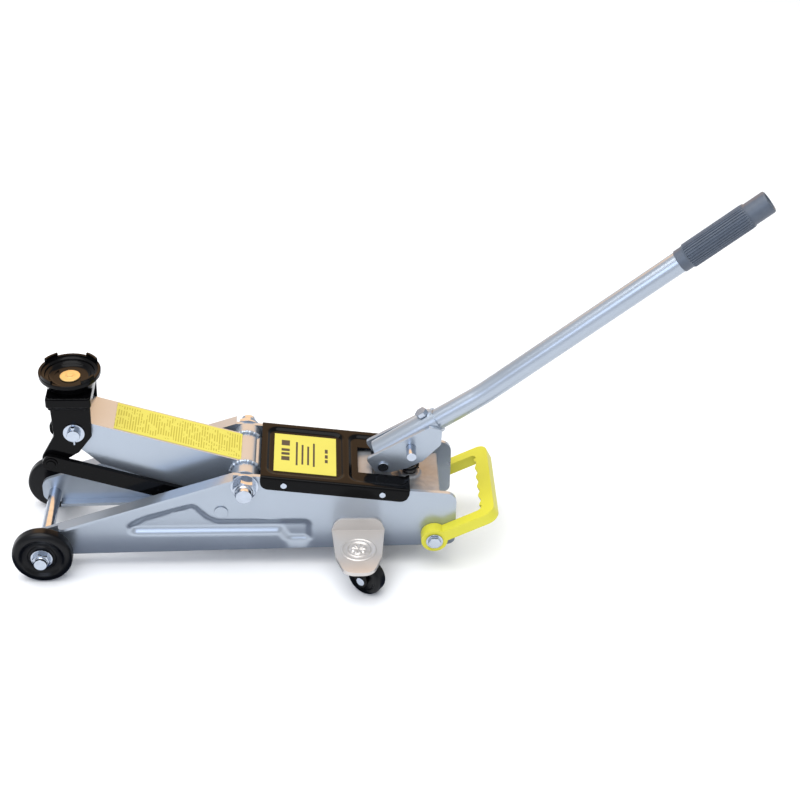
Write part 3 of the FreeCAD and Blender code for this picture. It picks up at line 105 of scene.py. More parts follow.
bpy.ops.object.select_all(action="DESELECT")
bpy.ops.mesh.primitive_plane_add(size=1, location=(-0.11, -0.073, 0.0015))
strip = bpy.context.object
strip.name = "blue_strip"
strip.scale = (0.62, 0.05, 1)
felt = bpy.data.materials.new("dark_blue_felt")
felt.use_nodes = True
felt.node_tree.nodes["Principled BSDF"].inputs["Base Color"].default_value = linear("#1B2E4E")
felt.node_tree.nodes["Principled BSDF"].inputs["Roughness"].default_value = 1.0
strip.data.materials.append(felt)
strip.visible_camera = False
strip.visible_diffuse = False
strip.visible_shadow = False

world = bpy.data.worlds.new("studio")
world.use_nodes = True
world.node_tree.nodes["Background"].inputs["Color"].default_value = linear("#F4F6FA")
world.node_tree.nodes["Background"].inputs["Strength"].default_value = 0.75
bpy.context.scene.world = world
bpy.context.scene.view_settings.view_transform = "Standard"

CAMERA_SPOT = (-0.04833, -1.42318, 1.14385)
CAMERA_YAW, CAMERA_PITCH, CAMERA_ROLL = (math.radians(angle) for angle in (2.772, 34.263, 1.144))
camera_data = bpy.data.cameras.new("view")
camera_data.sensor_width = 36
camera_data.lens = 78.01
camera = bpy.data.objects.new("view", camera_data)
aim = (Matrix.Rotation(-CAMERA_YAW, 4, "Z") @ Matrix.Rotation(math.pi / 2 - CAMERA_PITCH, 4, "X")
       @ Matrix.Rotation(CAMERA_ROLL, 4, "Z"))
camera.matrix_world = Matrix.Translation(CAMERA_SPOT) @ aim
bpy.context.scene.collection.objects.link(camera)
bpy.context.scene.camera = camera


# ---- Finishes shared by several pieces ----------------------------------------------------------
# Silver-grey stoving enamel and gloss black enamel on the pressed and welded steel, bright zinc on
# the fasteners, ground steel on the parts that slide, and paint straight on the rough casting.

def surface(name, base, rough, metallic=0.0, coat=0.0, grain_mm=1.0, grain_depth=0.02,
            tone=0.06, patch_mm=60.0, rough_spread=0.06, specular=0.5):
    """A coat with patchy tone, a fine bumpy grain and uneven gloss."""
    made = bpy.data.materials.new(name)
    made.use_nodes = True
    tree = made.node_tree
    shader = tree.nodes["Principled BSDF"]
    shader.inputs["Metallic"].default_value = metallic
    shader.inputs["Coat Weight"].default_value = coat
    shader.inputs["Coat Roughness"].default_value = 0.05
    shader.inputs["Specular IOR Level"].default_value = specular
    place = add(tree, "ShaderNodeTexCoord").outputs["Object"]
    patches = add(tree, "ShaderNodeTexNoise", {"Scale": 1 / (patch_mm * MM), "Detail": 4.0}, Vector=place)
    darker = tuple(part * (1 - 2.2 * tone) for part in linear(base)[:3]) + (1.0,)
    lighter = tuple(min(1.0, part * (1 + 1.4 * tone)) for part in linear(base)[:3]) + (1.0,)
    shade = add(tree, "ShaderNodeMix", {"data_type": "RGBA"}, _0=patches.outputs["Fac"])
    shade.inputs[6].default_value = darker
    shade.inputs[7].default_value = lighter
    tree.links.new(shade.outputs[2], shader.inputs["Base Color"])
    grain = add(tree, "ShaderNodeTexNoise", {"Scale": 1 / (grain_mm * MM), "Detail": 3.0}, Vector=place)
    gloss = add(tree, "ShaderNodeMapRange", {"To Min": max(0.02, rough - rough_spread),
                                             "To Max": rough + rough_spread}, Value=patches.outputs["Fac"])
    tree.links.new(gloss.outputs["Result"], shader.inputs["Roughness"])
    bump = add(tree, "ShaderNodeBump", {"Strength": 0.35, "Distance": grain_depth * MM},
               Height=grain.outputs["Fac"])
    tree.links.new(bump.outputs["Normal"], shader.inputs["Normal"])
    return made


# Flakes in the stoved coat make it half a metal to the eye, with soft broad patches.
SILVER = surface("silver_stoving_enamel", "#A6AFBA", 0.3, metallic=0.75, coat=0.2, grain_mm=1.4,
                 grain_depth=0.05, tone=0.05, patch_mm=70)
# Deep black and smooth: little shows but the sharp lights on its edges.
BLACK = surface("black_gloss_enamel", "#060607", 0.14, grain_mm=2.2, grain_depth=0.03,
                tone=0.2, patch_mm=40, rough_spread=0.04, specular=0.1)
# A bluish white metal with small cloudy patches left by the plating bath.
ZINC = surface("bright_zinc_plate", "#B4BCC8", 0.18, metallic=1.0, grain_mm=0.9, grain_depth=0.02,
               tone=0.09, patch_mm=6)
# Warmer and duller than the zinc, with the fine grain of the grinding wheel.
STEEL = surface("ground_steel", "#8C8A86", 0.26, metallic=1.0, grain_mm=0.5, grain_depth=0.01,
                tone=0.08, patch_mm=12)
# One coat that fills none of the sand marks, so the surface stays pitted and uneven.
CASTING = surface("silver_paint_on_casting", "#9A9C9F", 0.42, metallic=0.5, grain_mm=1.9,
                  grain_depth=0.35, tone=0.12, patch_mm=9, rough_spread=0.12)
# Nearly black, with an oily sheen along the wire.
SPRING = surface("oiled_black_spring_steel", "#1C1C1F", 0.3, metallic=0.8, grain_mm=0.6, tone=0.1,
                 patch_mm=8)


# ---- Steel pieces that keep their CAD shape -----------------------------------------------------
# Cut, turned and folded steel has no knife edges: each of these is a copy of its CAD node with its
# triangles merged back into faces and every edge broken by a small bevel, then painted or plated.

BODY_OF = {node: body for body, members in frame["record"]["behaviour"]["bodies"].items()
           for node in members}


def take_up(piece):
    """Make one object the only one selected, and the active one."""
    bpy.ops.object.select_all(action="DESELECT")
    piece.select_set(True)
    bpy.context.view_layer.objects.active = piece


def bake_modifier(piece, kind, **settings):
    """Add a modifier and apply it."""
    take_up(piece)
    made = piece.modifiers.new(kind.lower(), kind)
    for name, value in settings.items():
        setattr(made, name, value)
    bpy.ops.object.modifier_apply(modifier=made.name)


def merged_copy(node, name):
    """A copy of a CAD node with its loose triangles joined into flat faces."""
    piece = bpy.data.objects.new(name, frame["nodes"][node].data.copy())
    bpy.context.scene.collection.objects.link(piece)
    take_up(piece)
    bpy.ops.object.mode_set(mode="EDIT")
    bpy.ops.mesh.select_all(action="SELECT")
    bpy.ops.mesh.remove_doubles(threshold=0.00001)
    bpy.ops.mesh.dissolve_limited(angle_limit=math.radians(0.6))
    bpy.ops.object.mode_set(mode="OBJECT")
    return piece


def hand_over(piece, finish, *nodes, smooth=32):
    """Shade, paint and hand a finished piece to its body, in place of its CAD nodes."""
    take_up(piece)
    bpy.ops.object.transform_apply(location=True, rotation=True, scale=True)
    bpy.ops.object.shade_smooth_by_angle(angle=math.radians(smooth))
    bake_modifier(piece, "WEIGHTED_NORMAL", keep_sharp=True)
    piece.data.materials.clear()
    piece.data.materials.append(finish)
    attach(piece, BODY_OF[nodes[0]])
    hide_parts(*nodes)
    return piece


def broken_edges(node, finish, width, segments=2):
    """The CAD node with its sharp edges bevelled."""
    piece = merged_copy(node, f"{node}_finished")
    bake_modifier(piece, "BEVEL", width=width * MM, segments=segments, limit_method="ANGLE",
                  angle_limit=math.radians(40), use_clamp_overlap=True)
    return hand_over(piece, finish, node)


for node, finish, width in (
        ("arm_pivot_tube", SILVER, 0.8), ("handle_tube", SILVER, 0.5), ("rod_anchor_pins", SILVER, 0.6),
        ("bracket_cheeks", BLACK, 0.7), ("bracket_head", BLACK, 1.2),
        ("radius_rod_left", BLACK, 0.9), ("radius_rod_right", BLACK, 0.9),
        ("castor_fork_left", BLACK, 0.5), ("castor_fork_right", BLACK, 0.5),
        ("front_axle", ZINC, 0.8), ("axle_washers", ZINC, 0.3), ("arm_pivot_shaft", ZINC, 0.8),
        ("arm_pivot_washers", ZINC, 0.4), ("cover_screws", ZINC, 0.4), ("filler_plug", ZINC, 0.5),
        ("arm_front_pin", ZINC, 1.0), ("front_pin_washers", ZINC, 0.3), ("split_pins", ZINC, 0.5),
        ("rod_front_pin", BLACK, 0.8), ("rod_pin_clips", BLACK, 0.3),
        ("castor_axle_left", ZINC, 0.5), ("castor_axle_right", ZINC, 0.5),
        ("socket_hinge_pin", ZINC, 0.8), ("press_pin", ZINC, 0.8), ("release_valve", ZINC, 0.6),
        ("saddle_clip", ZINC, 0.3), ("crank_pin", STEEL, 0.4), ("crank_roller", STEEL, 0.5),
        ("ram_head", STEEL, 0.8), ("ram_rod", STEEL, 0.5), ("ram_cylinder", STEEL, 0.5),
        ("pump_plunger", STEEL, 0.5), ("oil_reservoir", CASTING, 0.5), ("gland_nut", CASTING, 0.8)):
    broken_edges(node, finish, width)

frame["nodes"]["pump_spring"].data.materials.clear()
frame["nodes"]["pump_spring"].data.materials.append(SPRING)


# ---- Side plates --------------------------------------------------------------------------------
# Pressed from 4 mm sheet. A long panel is struck inwards by the press tool: it runs back from behind
# the axle, under the sloping edge, narrows below the pivot and turns down ahead of the castor.

PANEL = ((-0.246, 0.0500), (-0.236, 0.0570), (-0.188, 0.0725), (-0.176, 0.0590), (-0.164, 0.0525),
         (-0.076, 0.0520), (-0.076, 0.0380), (-0.090, 0.0380), (-0.097, 0.0500))
PANEL_DEPTH = 4.2 * MM
PANEL_ROUND = 4.5 * MM
PANEL_SHOULDER = 8.0 * MM
PLATE_SHEET = 4.0 * MM
PIVOT_WASHER = 2.5 * MM
FOOT_TOP = 0.0235
SIDES = (("left", -1), ("right", 1))


def outline_distance(x, z, corners):
    """Distance from a closed outline, negative inside it."""
    nearest, inside = 1.0, False
    for (x1, z1), (x2, z2) in zip(corners, corners[1:] + corners[:1]):
        along = ((x - x1) * (x2 - x1) + (z - z1) * (z2 - z1)) / ((x2 - x1) ** 2 + (z2 - z1) ** 2)
        along = min(1.0, max(0.0, along))
        nearest = min(nearest, math.hypot(x - x1 - along * (x2 - x1), z - z1 - along * (z2 - z1)))
        if (z1 > z) != (z2 > z) and x < x1 + (z - z1) * (x2 - x1) / (z2 - z1):
            inside = not inside
    return -nearest if inside else nearest


def soft_step(share):
    """0 to 1 with level ends."""
    share = min(1.0, max(0.0, share))
    return share * share * (3 - 2 * share)


def score(piece, normal, start, stop, step):
    """Cut a mesh with evenly spaced planes, so that it can bend between them."""
    take_up(piece)
    bpy.ops.object.mode_set(mode="EDIT")
    axis = Vector(normal)
    for index in range(int((stop - start) / step) + 1):
        bpy.ops.mesh.select_all(action="SELECT")
        bpy.ops.mesh.bisect(plane_co=axis * (start + index * step), plane_no=normal)
    bpy.ops.object.mode_set(mode="OBJECT")


for side_name, side in SIDES:
    node = f"side_plate_{side_name}"
    plate = merged_copy(node, f"{node}_pressed")
    bake_modifier(plate, "BEVEL", width=1.1 * MM, segments=3, limit_method="ANGLE",
                  angle_limit=math.radians(40))
    score(plate, (1, 0, 0), PANEL[0][0] - 12 * MM, PANEL[5][0] + 12 * MM, 2.5 * MM)
    score(plate, (0, 0, 1), PANEL[6][1] - 6 * MM, PANEL[2][1] + 12 * MM, 2.2 * MM)
    web_inner = abs(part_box("arm_pivot_washers")[0].y) - PIVOT_WASHER - PLATE_SHEET
    for vertex in plate.data.vertices:
        spot = vertex.co
        in_web = web_inner - 0.3 * MM < side * spot.y < web_inner + PLATE_SHEET + 0.3 * MM
        if in_web and spot.z > FOOT_TOP:
            away = outline_distance(spot.x, spot.z, PANEL) - PANEL_ROUND
            spot.y -= side * PANEL_DEPTH * soft_step(0.5 - away / PANEL_SHOULDER)
    hand_over(plate, SILVER, node, smooth=38)


# ---- Lifting arm --------------------------------------------------------------------------------
# Folded from 4 mm sheet, with a generous radius along both top edges. Its cheeks are fixed to the
# pivot tube by a bead of weld on each side, left under the paint.

arm = merged_copy("lift_arm", "lift_arm_folded")
bake_modifier(arm, "BEVEL", width=2.4 * MM, segments=4, limit_method="ANGLE",
              angle_limit=math.radians(40))
hand_over(arm, SILVER, "lift_arm")


def weld_bead(name, path, radius, body, finish):
    """A run of overlapping puddles along a path, as a hand-held torch leaves it."""
    lengths = [(Vector(b) - Vector(a)).length for a, b in zip(path, path[1:])]
    count = max(4, int(sum(lengths) / (radius * 0.75)))
    drops = []
    for index in range(count + 1):
        reach = sum(lengths) * index / count
        for start, end, length in zip(path, path[1:], lengths):
            if reach <= length + 1e-9:
                break
            reach -= length
        spot = Vector(start).lerp(Vector(end), min(1.0, reach / length))
        swell = radius * (1 + 0.16 * math.sin(index * 2.4) + 0.08 * math.sin(index * 5.1))
        bpy.ops.object.select_all(action="DESELECT")
        bpy.ops.mesh.primitive_uv_sphere_add(segments=12, ring_count=8, radius=swell, location=spot)
        drops.append(bpy.context.object)
    for drop in drops:
        drop.select_set(True)
    bpy.context.view_layer.objects.active = drops[0]
    bpy.ops.object.join()
    bead = bpy.context.object
    bead.name = name
    bpy.ops.object.transform_apply(location=True, rotation=True, scale=True)
    bake_modifier(bead, "REMESH", mode="VOXEL", voxel_size=radius * 0.3)
    bake_modifier(bead, "SMOOTH", factor=0.5, iterations=2)
    bpy.ops.object.shade_smooth()
    bead.data.materials.append(finish)
    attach(bead, body)
    return bead


def circle_path(centre, radius, start, stop, count=28):
    """Points round the Y axis, from one angle to another."""
    angles = [start + (stop - start) * index / count for index in range(count + 1)]
    return [(centre[0] + radius * math.cos(a), centre[1], centre[2] + radius * math.sin(a)) for a in angles]


tube_low, tube_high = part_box("arm_pivot_tube")
PIVOT = (tube_low + tube_high) / 2
tube_radius = (tube_high.z - tube_low.z) / 2
arm_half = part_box("arm_label")[1].y + 2 * MM
for side_name, side in SIDES:
    ring = circle_path((PIVOT.x, side * (arm_half + 1 * MM), PIVOT.z), tube_radius + 0.8 * MM,
                       math.radians(20), math.radians(340))
    weld_bead(f"pivot_weld_{side_name}", ring, 2.1 * MM, "arm", SILVER)


# ---- Bracket welds ------------------------------------------------------------------------------
# The thick head is welded to the tops of the two cheeks; the beads stand proud under the paint.

head_low, head_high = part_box("bracket_head")
cheek_low, cheek_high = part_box("bracket_cheeks")
for side_name, side in SIDES:
    seam = [(head_low.x + 4 * MM, side * (cheek_high.y + 0.2 * MM), head_low.z - 0.6 * MM),
            (head_high.x - 4 * MM, side * (cheek_high.y + 0.2 * MM), head_low.z - 0.6 * MM)]
    weld_bead(f"head_weld_{side_name}", seam, 1.9 * MM, "bracket", BLACK)
top_seam = [(head_low.x + 3 * MM, -(head_high.y - 3 * MM), head_high.z - 0.9 * MM),
            (head_high.x - 3 * MM, -(head_high.y - 3 * MM), head_high.z - 0.9 * MM)]
weld_bead("head_top_weld", top_seam, 1.7 * MM, "bracket", BLACK)


# ---- Turned pieces: front wheels ----------------------------------------------------------------
# Moulded nylon wheels: a plain tread with rounded shoulders, a broad dished face with a raised
# bead and a flat hub that the washer bears on.

# Satin black, a little paler at the edges; its dull gloss spreads the lights.
NYLON = surface("black_moulded_nylon", "#08090C", 0.3, grain_mm=0.9, grain_depth=0.03,
                tone=0.12, patch_mm=14, specular=0.2)


def lathe(name, profile, direction, centre, segments=80):
    """A closed turned shape. Each step is a radius and a height in millimetres along the axis."""
    bpy.ops.object.select_all(action="DESELECT")
    radius, height = profile[0]
    bpy.ops.mesh.primitive_circle_add(vertices=segments, radius=radius * MM)
    piece = bpy.context.object
    piece.name = name
    bpy.ops.object.mode_set(mode="EDIT")
    bpy.ops.mesh.select_mode(type="VERT")
    bpy.ops.mesh.select_all(action="SELECT")
    bpy.ops.transform.translate(value=(0, 0, height * MM))
    for next_radius, next_height in profile[1:] + profile[:1]:
        bpy.ops.mesh.extrude_region_move(
            TRANSFORM_OT_translate={"value": (0, 0, (next_height - height) * MM)})
        scale = next_radius / radius
        bpy.ops.transform.resize(value=(scale, scale, 1), center_override=(0, 0, 0))
        radius, height = next_radius, next_height
    bpy.ops.mesh.select_all(action="SELECT")
    bpy.ops.mesh.remove_doubles(threshold=0.00002)
    bpy.ops.mesh.normals_make_consistent(inside=False)
    bpy.ops.object.mode_set(mode="OBJECT")
    turn = Vector((0, 0, 1)).rotation_difference(Vector(direction)).to_matrix().to_4x4()
    piece.matrix_world = Matrix.Translation(centre) @ turn
    return piece


def rounding(centre, radius, start, stop, count=5):
    """Steps of a quarter-round shoulder, as radii and heights."""
    angles = [math.radians(start + (stop - start) * index / count) for index in range(count + 1)]
    return [(centre[0] + radius * math.cos(a), centre[1] + radius * math.sin(a)) for a in angles]


wheel_low, wheel_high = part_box("front_wheel_right")
WHEEL = (wheel_high.z - wheel_low.z) / 2 / MM
WIDE = (wheel_high.y - wheel_low.y) / MM
WHEEL_BORE = 6.7
WHEEL_PROFILE = [
    (WHEEL_BORE, 0.2), (WHEEL - 6, 0.2), *rounding((WHEEL - 3.4, 3.4), 3.4, -75, 0),
    *rounding((WHEEL - 5.5, WIDE - 5.7), 5.5, 0, 84), (WHEEL - 7.2, WIDE - 0.3),
    (WHEEL - 8.6, WIDE - 1.0), (WHEEL - 9.6, WIDE - 2.4), (WHEEL - 11.2, WIDE - 3.4),
    (WHEEL_BORE + 8.6, WIDE - 4.2), (WHEEL_BORE + 7.6, WIDE - 3.8), (WHEEL_BORE + 6.8, WIDE - 2.6),
    (WHEEL_BORE, WIDE - 2.6)]
for side_name, side in SIDES:
    node = f"front_wheel_{side_name}"
    low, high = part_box(node)
    hub = Vector(((low.x + high.x) / 2, low.y if side > 0 else high.y, (low.z + high.z) / 2))
    wheel = lathe(f"{node}_moulded", WHEEL_PROFILE, (0, side, 0), hub)
    hand_over(wheel, NYLON, node, smooth=50)


# ---- Castor wheels ------------------------------------------------------------------------------
# Small solid nylon rollers with rounded shoulders and a shallow dish on each face.

CASTOR_BORE, CASTOR_HALF = 3.3, 7.8
CASTOR_YAW = math.radians(35)
for side_name, side in SIDES:
    node = f"castor_wheel_{side_name}"
    low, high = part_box(node)
    middle = (low + high) / 2
    radius = (high.z - low.z) / 2 / MM
    axis = Vector((-side * math.sin(CASTOR_YAW), math.cos(CASTOR_YAW), 0))
    half = CASTOR_HALF
    profile = [(CASTOR_BORE, -half + 0.6), (7.0, -half + 0.6), (8.0, -half + 1.6), (12.2, -half + 1.6),
               (13.2, -half), *rounding((radius - 4.2, -half + 4.2), 4.2, -80, 0),
               *rounding((radius - 4.2, half - 4.2), 4.2, 0, 80), (13.2, half), (12.2, half - 1.6),
               (8.0, half - 1.6), (7.0, half - 0.6), (CASTOR_BORE, half - 0.6)]
    roller = lathe(f"{node}_moulded", profile, axis, middle, 64)
    hand_over(roller, NYLON, node, smooth=50)


# ---- Saddle -------------------------------------------------------------------------------------
# Black enamelled cup, turned in steps towards a flat floor, with four tabs standing on its rim and
# a yellow-passivated screw in the middle.

# Gold-brown and cloudy, because the passivation takes unevenly.
YELLOW_ZINC = surface("yellow_passivated_zinc", "#D9B778", 0.38, metallic=0.55, grain_mm=0.8,
                      grain_depth=0.06, tone=0.12, patch_mm=5)

cup_low, cup_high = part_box("saddle_cup")
screw_low, screw_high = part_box("saddle_screw")
SADDLE_X = (cup_low.x + cup_high.x) / 2
CUP = (cup_high.x - cup_low.x) / 2 / MM
TAB = 3.6
floor_z = screw_low.z
RIM = (cup_high.z - floor_z) / MM - TAB
cup_profile = [
    (0.02, -21.0), (8.9, -21.0), (8.9, -8.0), (23.0, -8.0), (23.6, -7.6), (25.2, -3.6), (27.0, -0.6),
    (CUP - 1.6, RIM - 5.4), (CUP - 0.3, RIM - 4.6), (CUP, RIM - 3.8), (CUP, RIM - 0.5), (CUP - 0.5, RIM),
    (CUP - 2.7, RIM), (CUP - 3.2, RIM - 0.6), (CUP - 3.4, RIM - 1.9), (CUP - 5.6, RIM - 2.5),
    (CUP - 6.2, RIM - 3.2), (CUP - 6.6, RIM - 4.6), (CUP - 9.2, RIM - 5.4), (CUP - 9.8, RIM - 6.0),
    (CUP - 10.6, 1.0), (CUP - 12.4, 0.3), (CUP - 14.0, 0.0), (0.02, 0.0)]
cup = lathe("saddle_cup_turned", cup_profile, (0, 0, 1), (SADDLE_X, 0, floor_z), 96)
take_up(cup)
bpy.ops.object.transform_apply(location=True, rotation=True, scale=True)
bpy.ops.object.mode_set(mode="EDIT")
bpy.ops.mesh.select_all(action="DESELECT")
bpy.ops.object.mode_set(mode="OBJECT")
for face in cup.data.polygons:
    spread = math.hypot(face.center.x - SADDLE_X, face.center.y) / MM
    turn = math.degrees(math.atan2(face.center.y, face.center.x - SADDLE_X)) % 90
    on_rim = abs(face.center.z - floor_z - RIM * MM) < 0.1 * MM and spread > CUP - 3
    face.select = on_rim and abs(turn - 45) < 14
bpy.ops.object.mode_set(mode="EDIT")
bpy.ops.mesh.select_mode(type="FACE")
bpy.ops.mesh.extrude_region_move(TRANSFORM_OT_translate={"value": (0, 0, TAB * MM)})
bpy.ops.object.mode_set(mode="OBJECT")
bake_modifier(cup, "BEVEL", width=0.5 * MM, segments=2, limit_method="ANGLE", angle_limit=math.radians(60))
hand_over(cup, BLACK, "saddle_cup", smooth=40)

screw_top = (screw_high.z - screw_low.z) / MM
screw_radius = (screw_high.x - screw_low.x) / 2 / MM
screw_profile = [(0.02, 0.1), (screw_radius, 0.1), (screw_radius, 1.0), (screw_radius - 0.5, 1.4),
                 (6.4, 1.5), (6.0, 1.2), (4.6, 1.2), (4.2, 1.5), (3.4, 1.6), (3.2, screw_top - 0.1),
                 (2.6, screw_top), (0.02, screw_top)]
screw = lathe("saddle_screw_turned", screw_profile, (0, 0, 1), (SADDLE_X, 0, screw_low.z), 64)
hand_over(screw, YELLOW_ZINC, "saddle_screw", smooth=40)


# ---- Nuts and bolt heads ------------------------------------------------------------------------
# Zinc-plated hexagons. The lock nuts have a domed collar over their nylon ring; each hexagon is
# chamfered where the corners were turned off.

NUT_TURN = 0.26


def hexagon_nut(name, corners, depth, collar, direction, centre, turn):
    """A hexagon with turned-off corners and, on its outer face, a domed collar."""
    bpy.ops.object.select_all(action="DESELECT")
    bpy.ops.mesh.primitive_cylinder_add(vertices=6, radius=corners, depth=depth,
                                        location=(0, 0, depth / 2), rotation=(0, 0, turn))
    body = bpy.context.object
    bpy.ops.object.transform_apply(location=True, rotation=True, scale=True)
    flat = corners * math.cos(math.pi / 6)
    bpy.ops.object.select_all(action="DESELECT")
    bpy.ops.mesh.primitive_cone_add(vertices=72, radius1=flat + depth * 1.75 + 0.0004, radius2=flat - 0.0006,
                                    depth=depth, location=(0, 0, depth / 2))
    cone = bpy.context.object
    bake_modifier(body, "BOOLEAN", operation="INTERSECT", object=cone, solver="EXACT")
    bpy.data.objects.remove(cone)
    bake_modifier(body, "BEVEL", width=0.35 * MM, segments=2, limit_method="ANGLE",
                  angle_limit=math.radians(25))
    aim_to = Vector((0, 0, 1)).rotation_difference(Vector(direction)).to_matrix().to_4x4()
    body.matrix_world = Matrix.Translation(centre) @ aim_to
    wide = flat / MM - 0.9
    high = collar / MM
    ring = lathe(f"{name}_collar", [(wide, -0.2), (wide, 0.35 * high), (wide - 0.7, 0.75 * high),
                                    (wide - 2.0, high), (wide - 3.0, high), (wide - 3.4, 0.6 * high),
                                    (wide - 3.4, -0.2)], direction,
                 Vector(centre) + Vector(direction) * depth, 48)
    for part in (body, ring):
        take_up(part)
        bpy.ops.object.transform_apply(location=True, rotation=True, scale=True)
    body.select_set(True)
    bpy.context.view_layer.objects.active = body
    bpy.ops.object.join()
    body.name = name
    return body


def nut_pair(node, corners, depth, collar, outer):
    """The same nut on both ends of a shaft, made one piece."""
    low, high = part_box(node)
    pair = []
    for side in (-1, 1):
        centre = ((low.x + high.x) / 2, side * (outer - depth - collar), (low.z + high.z) / 2)
        pair.append(hexagon_nut(f"{node}_{side}", corners, depth, collar, (0, side, 0), centre, NUT_TURN))
    pair[0].select_set(True)
    bpy.context.view_layer.objects.active = pair[0]
    bpy.ops.object.join()
    pair[0].name = f"{node}_plated"
    return hand_over(pair[0], ZINC, node, smooth=30)


low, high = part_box("arm_pivot_nuts")
nut_pair("arm_pivot_nuts", (high.z - low.z) / 2, 9.5 * MM, 3.5 * MM, high.y)
low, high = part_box("axle_nuts")
nut_pair("axle_nuts", (high.z - low.z) / 2, 5.4 * MM, 2.6 * MM, high.y)


# ---- Cover --------------------------------------------------------------------------------------
# Pressed from 1.4 mm sheet and enamelled gloss black: two sunk pans with rounded corners, a window
# for the handle's socket, and a flap down each side with rounded corners.

cover_low, cover_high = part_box("cover_plate")
SLOPE = math.radians(7.3)
COVER_LONG, COVER_HALF, FLAP, FOLD = 149.8, cover_high.y / MM, 15.0, 2.6
PANS = ((7.0, 82.0, 38.5, 2.6), (90.0, 147.8, 38.5, 2.6))
WINDOW_START, WINDOW_HALF = 98.0, 21.0
PAN_CORNER, PAN_SHOULDER = 9.0, 4.2
FLAP_CORNER = 9.0
COVER_SHEET = 1.4 * MM


def rounded_box_distance(along, across, start, stop, half, corner):
    """Distance from a rounded rectangle, negative inside it."""
    dx = max(start + corner - along, along - stop + corner)
    dy = abs(across) - half + corner
    outside = math.hypot(max(dx, 0), max(dy, 0))
    return outside + min(max(dx, dy), 0) - corner


def sheet_point(along, reach):
    """Where a point of the flat blank goes once the pans are struck and the flaps folded."""
    side = 1 if reach > 0 else -1
    flat_half = COVER_HALF - FOLD
    beyond = abs(reach) - flat_half
    if beyond <= 0:
        drop = 0
        for start, stop, half, depth in PANS:
            away = rounded_box_distance(along, reach, start, stop, half, PAN_CORNER)
            drop += depth * soft_step(0.5 - away / PAN_SHOULDER)
        return along, reach, -drop
    bend = FOLD * math.pi / 2
    if beyond < bend:
        angle = beyond / FOLD
        return along, side * (flat_half + FOLD * math.sin(angle)), -FOLD * (1 - math.cos(angle))
    end_gap = min(along, COVER_LONG - along)
    inset = max(0.0, FLAP_CORNER - end_gap)
    lift = FLAP_CORNER - math.sqrt(max(0.0, FLAP_CORNER ** 2 - inset ** 2))
    down = (beyond - bend) / (FLAP - FOLD) * (FLAP - FOLD - lift)
    return along, side * COVER_HALF, -FOLD - down


bpy.ops.object.select_all(action="DESELECT")
bpy.ops.mesh.primitive_grid_add(x_subdivisions=110, y_subdivisions=92, size=1)
cover = bpy.context.object
cover.name = "cover_pressed"
blank_half = COVER_HALF - FOLD + FOLD * math.pi / 2 + FLAP - FOLD
cover_frame = Matrix.Translation((cover_low.x + FLAP * MM * math.sin(SLOPE), 0, cover_high.z))
cover_frame = cover_frame @ Matrix.Rotation(SLOPE, 4, "Y")
for vertex in cover.data.vertices:
    along, reach = (vertex.co.x + 0.5) * COVER_LONG, vertex.co.y * 2 * blank_half
    vertex.co = cover_frame @ (Vector(sheet_point(along, reach)) * MM)
to_blank = cover_frame.inverted()
take_up(cover)
bpy.ops.object.mode_set(mode="EDIT")
bpy.ops.mesh.select_mode(type="FACE")
bpy.ops.object.mode_set(mode="OBJECT")
for face in cover.data.polygons:
    centre = to_blank @ face.center / MM
    face.select = centre.x > WINDOW_START and abs(centre.y) < WINDOW_HALF
bpy.ops.object.mode_set(mode="EDIT")
bpy.ops.mesh.delete(type="FACE")
bpy.ops.object.mode_set(mode="OBJECT")
bake_modifier(cover, "SOLIDIFY", thickness=COVER_SHEET, offset=-1)
hand_over(cover, BLACK, "cover_plate", smooth=45)


# ---- Castor brackets ----------------------------------------------------------------------------
# Thick tongues welded to the plates. Round each kingpin the metal is raised in two rings, and the
# pin's head is swaged over with flutes.

# The silver paint again, made lighter and warmer as a painted reflection of the warm light on the upward
# faces of the tongues and pin heads, and a little duller than on the plates.
SILVER_PAINTED_WARM_REFLECTION = surface("silver_enamel_painted_warm_reflection", "#C2BDB8", 0.34, metallic=0.45, coat=0.2, grain_mm=1.6,
                      grain_depth=0.05, tone=0.05, patch_mm=30)

for side_name in ("left", "right"):
    node = f"castor_bracket_{side_name}"
    tongue = merged_copy(node, f"{node}_welded")
    bake_modifier(tongue, "BEVEL", width=1.5 * MM, segments=3, limit_method="ANGLE",
                  angle_limit=math.radians(40))
    hand_over(tongue, SILVER_PAINTED_WARM_REFLECTION, node)

pin_low, pin_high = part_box("kingpins")
tongue_top = pin_high.z - 1.8 * MM
swivel_x = (pin_low.x + pin_high.x) / 2
swivel_y = pin_high.y - 11 * MM
swages = []
for side in (-1, 1):
    profile = [(0.02, -9.6), (10.9, -9.6), (10.9, -4.2), (4.9, -4.2), (4.9, -0.4),
               (17.6, -0.4), (18.0, 0.2), (17.2, 1.0), (16.4, 1.1), (15.6, 0.6), (14.8, 0.2), (12.8, 0.2),
               (12.2, 1.0), (11.4, 1.4), (10.4, 0.9), (9.6, 0.2), (8.4, 0.2), (7.6, 1.2), (5.6, 1.9),
               (3.4, 1.2), (0.02, 1.0)]
    swage = lathe(f"swage_{side}", profile, (0, 0, 1), (swivel_x, side * swivel_y, tongue_top), 72)
    take_up(swage)
    bpy.ops.object.transform_apply(location=True, rotation=True, scale=True)
    for vertex in swage.data.vertices:
        dx, dy = vertex.co.x - swivel_x, vertex.co.y - side * swivel_y
        spread = math.hypot(dx, dy) / MM
        if 3.0 < spread < 8.0 and vertex.co.z > tongue_top + 0.9 * MM:
            vertex.co.z += 0.45 * MM * math.cos(9 * math.atan2(dy, dx))
    swages.append(swage)
for swage in swages:
    swage.select_set(True)
bpy.context.view_layer.objects.active = swages[0]
bpy.ops.object.join()
swages[0].name = "kingpins_swaged"
hand_over(swages[0], SILVER_PAINTED_WARM_REFLECTION, "kingpins", smooth=40)


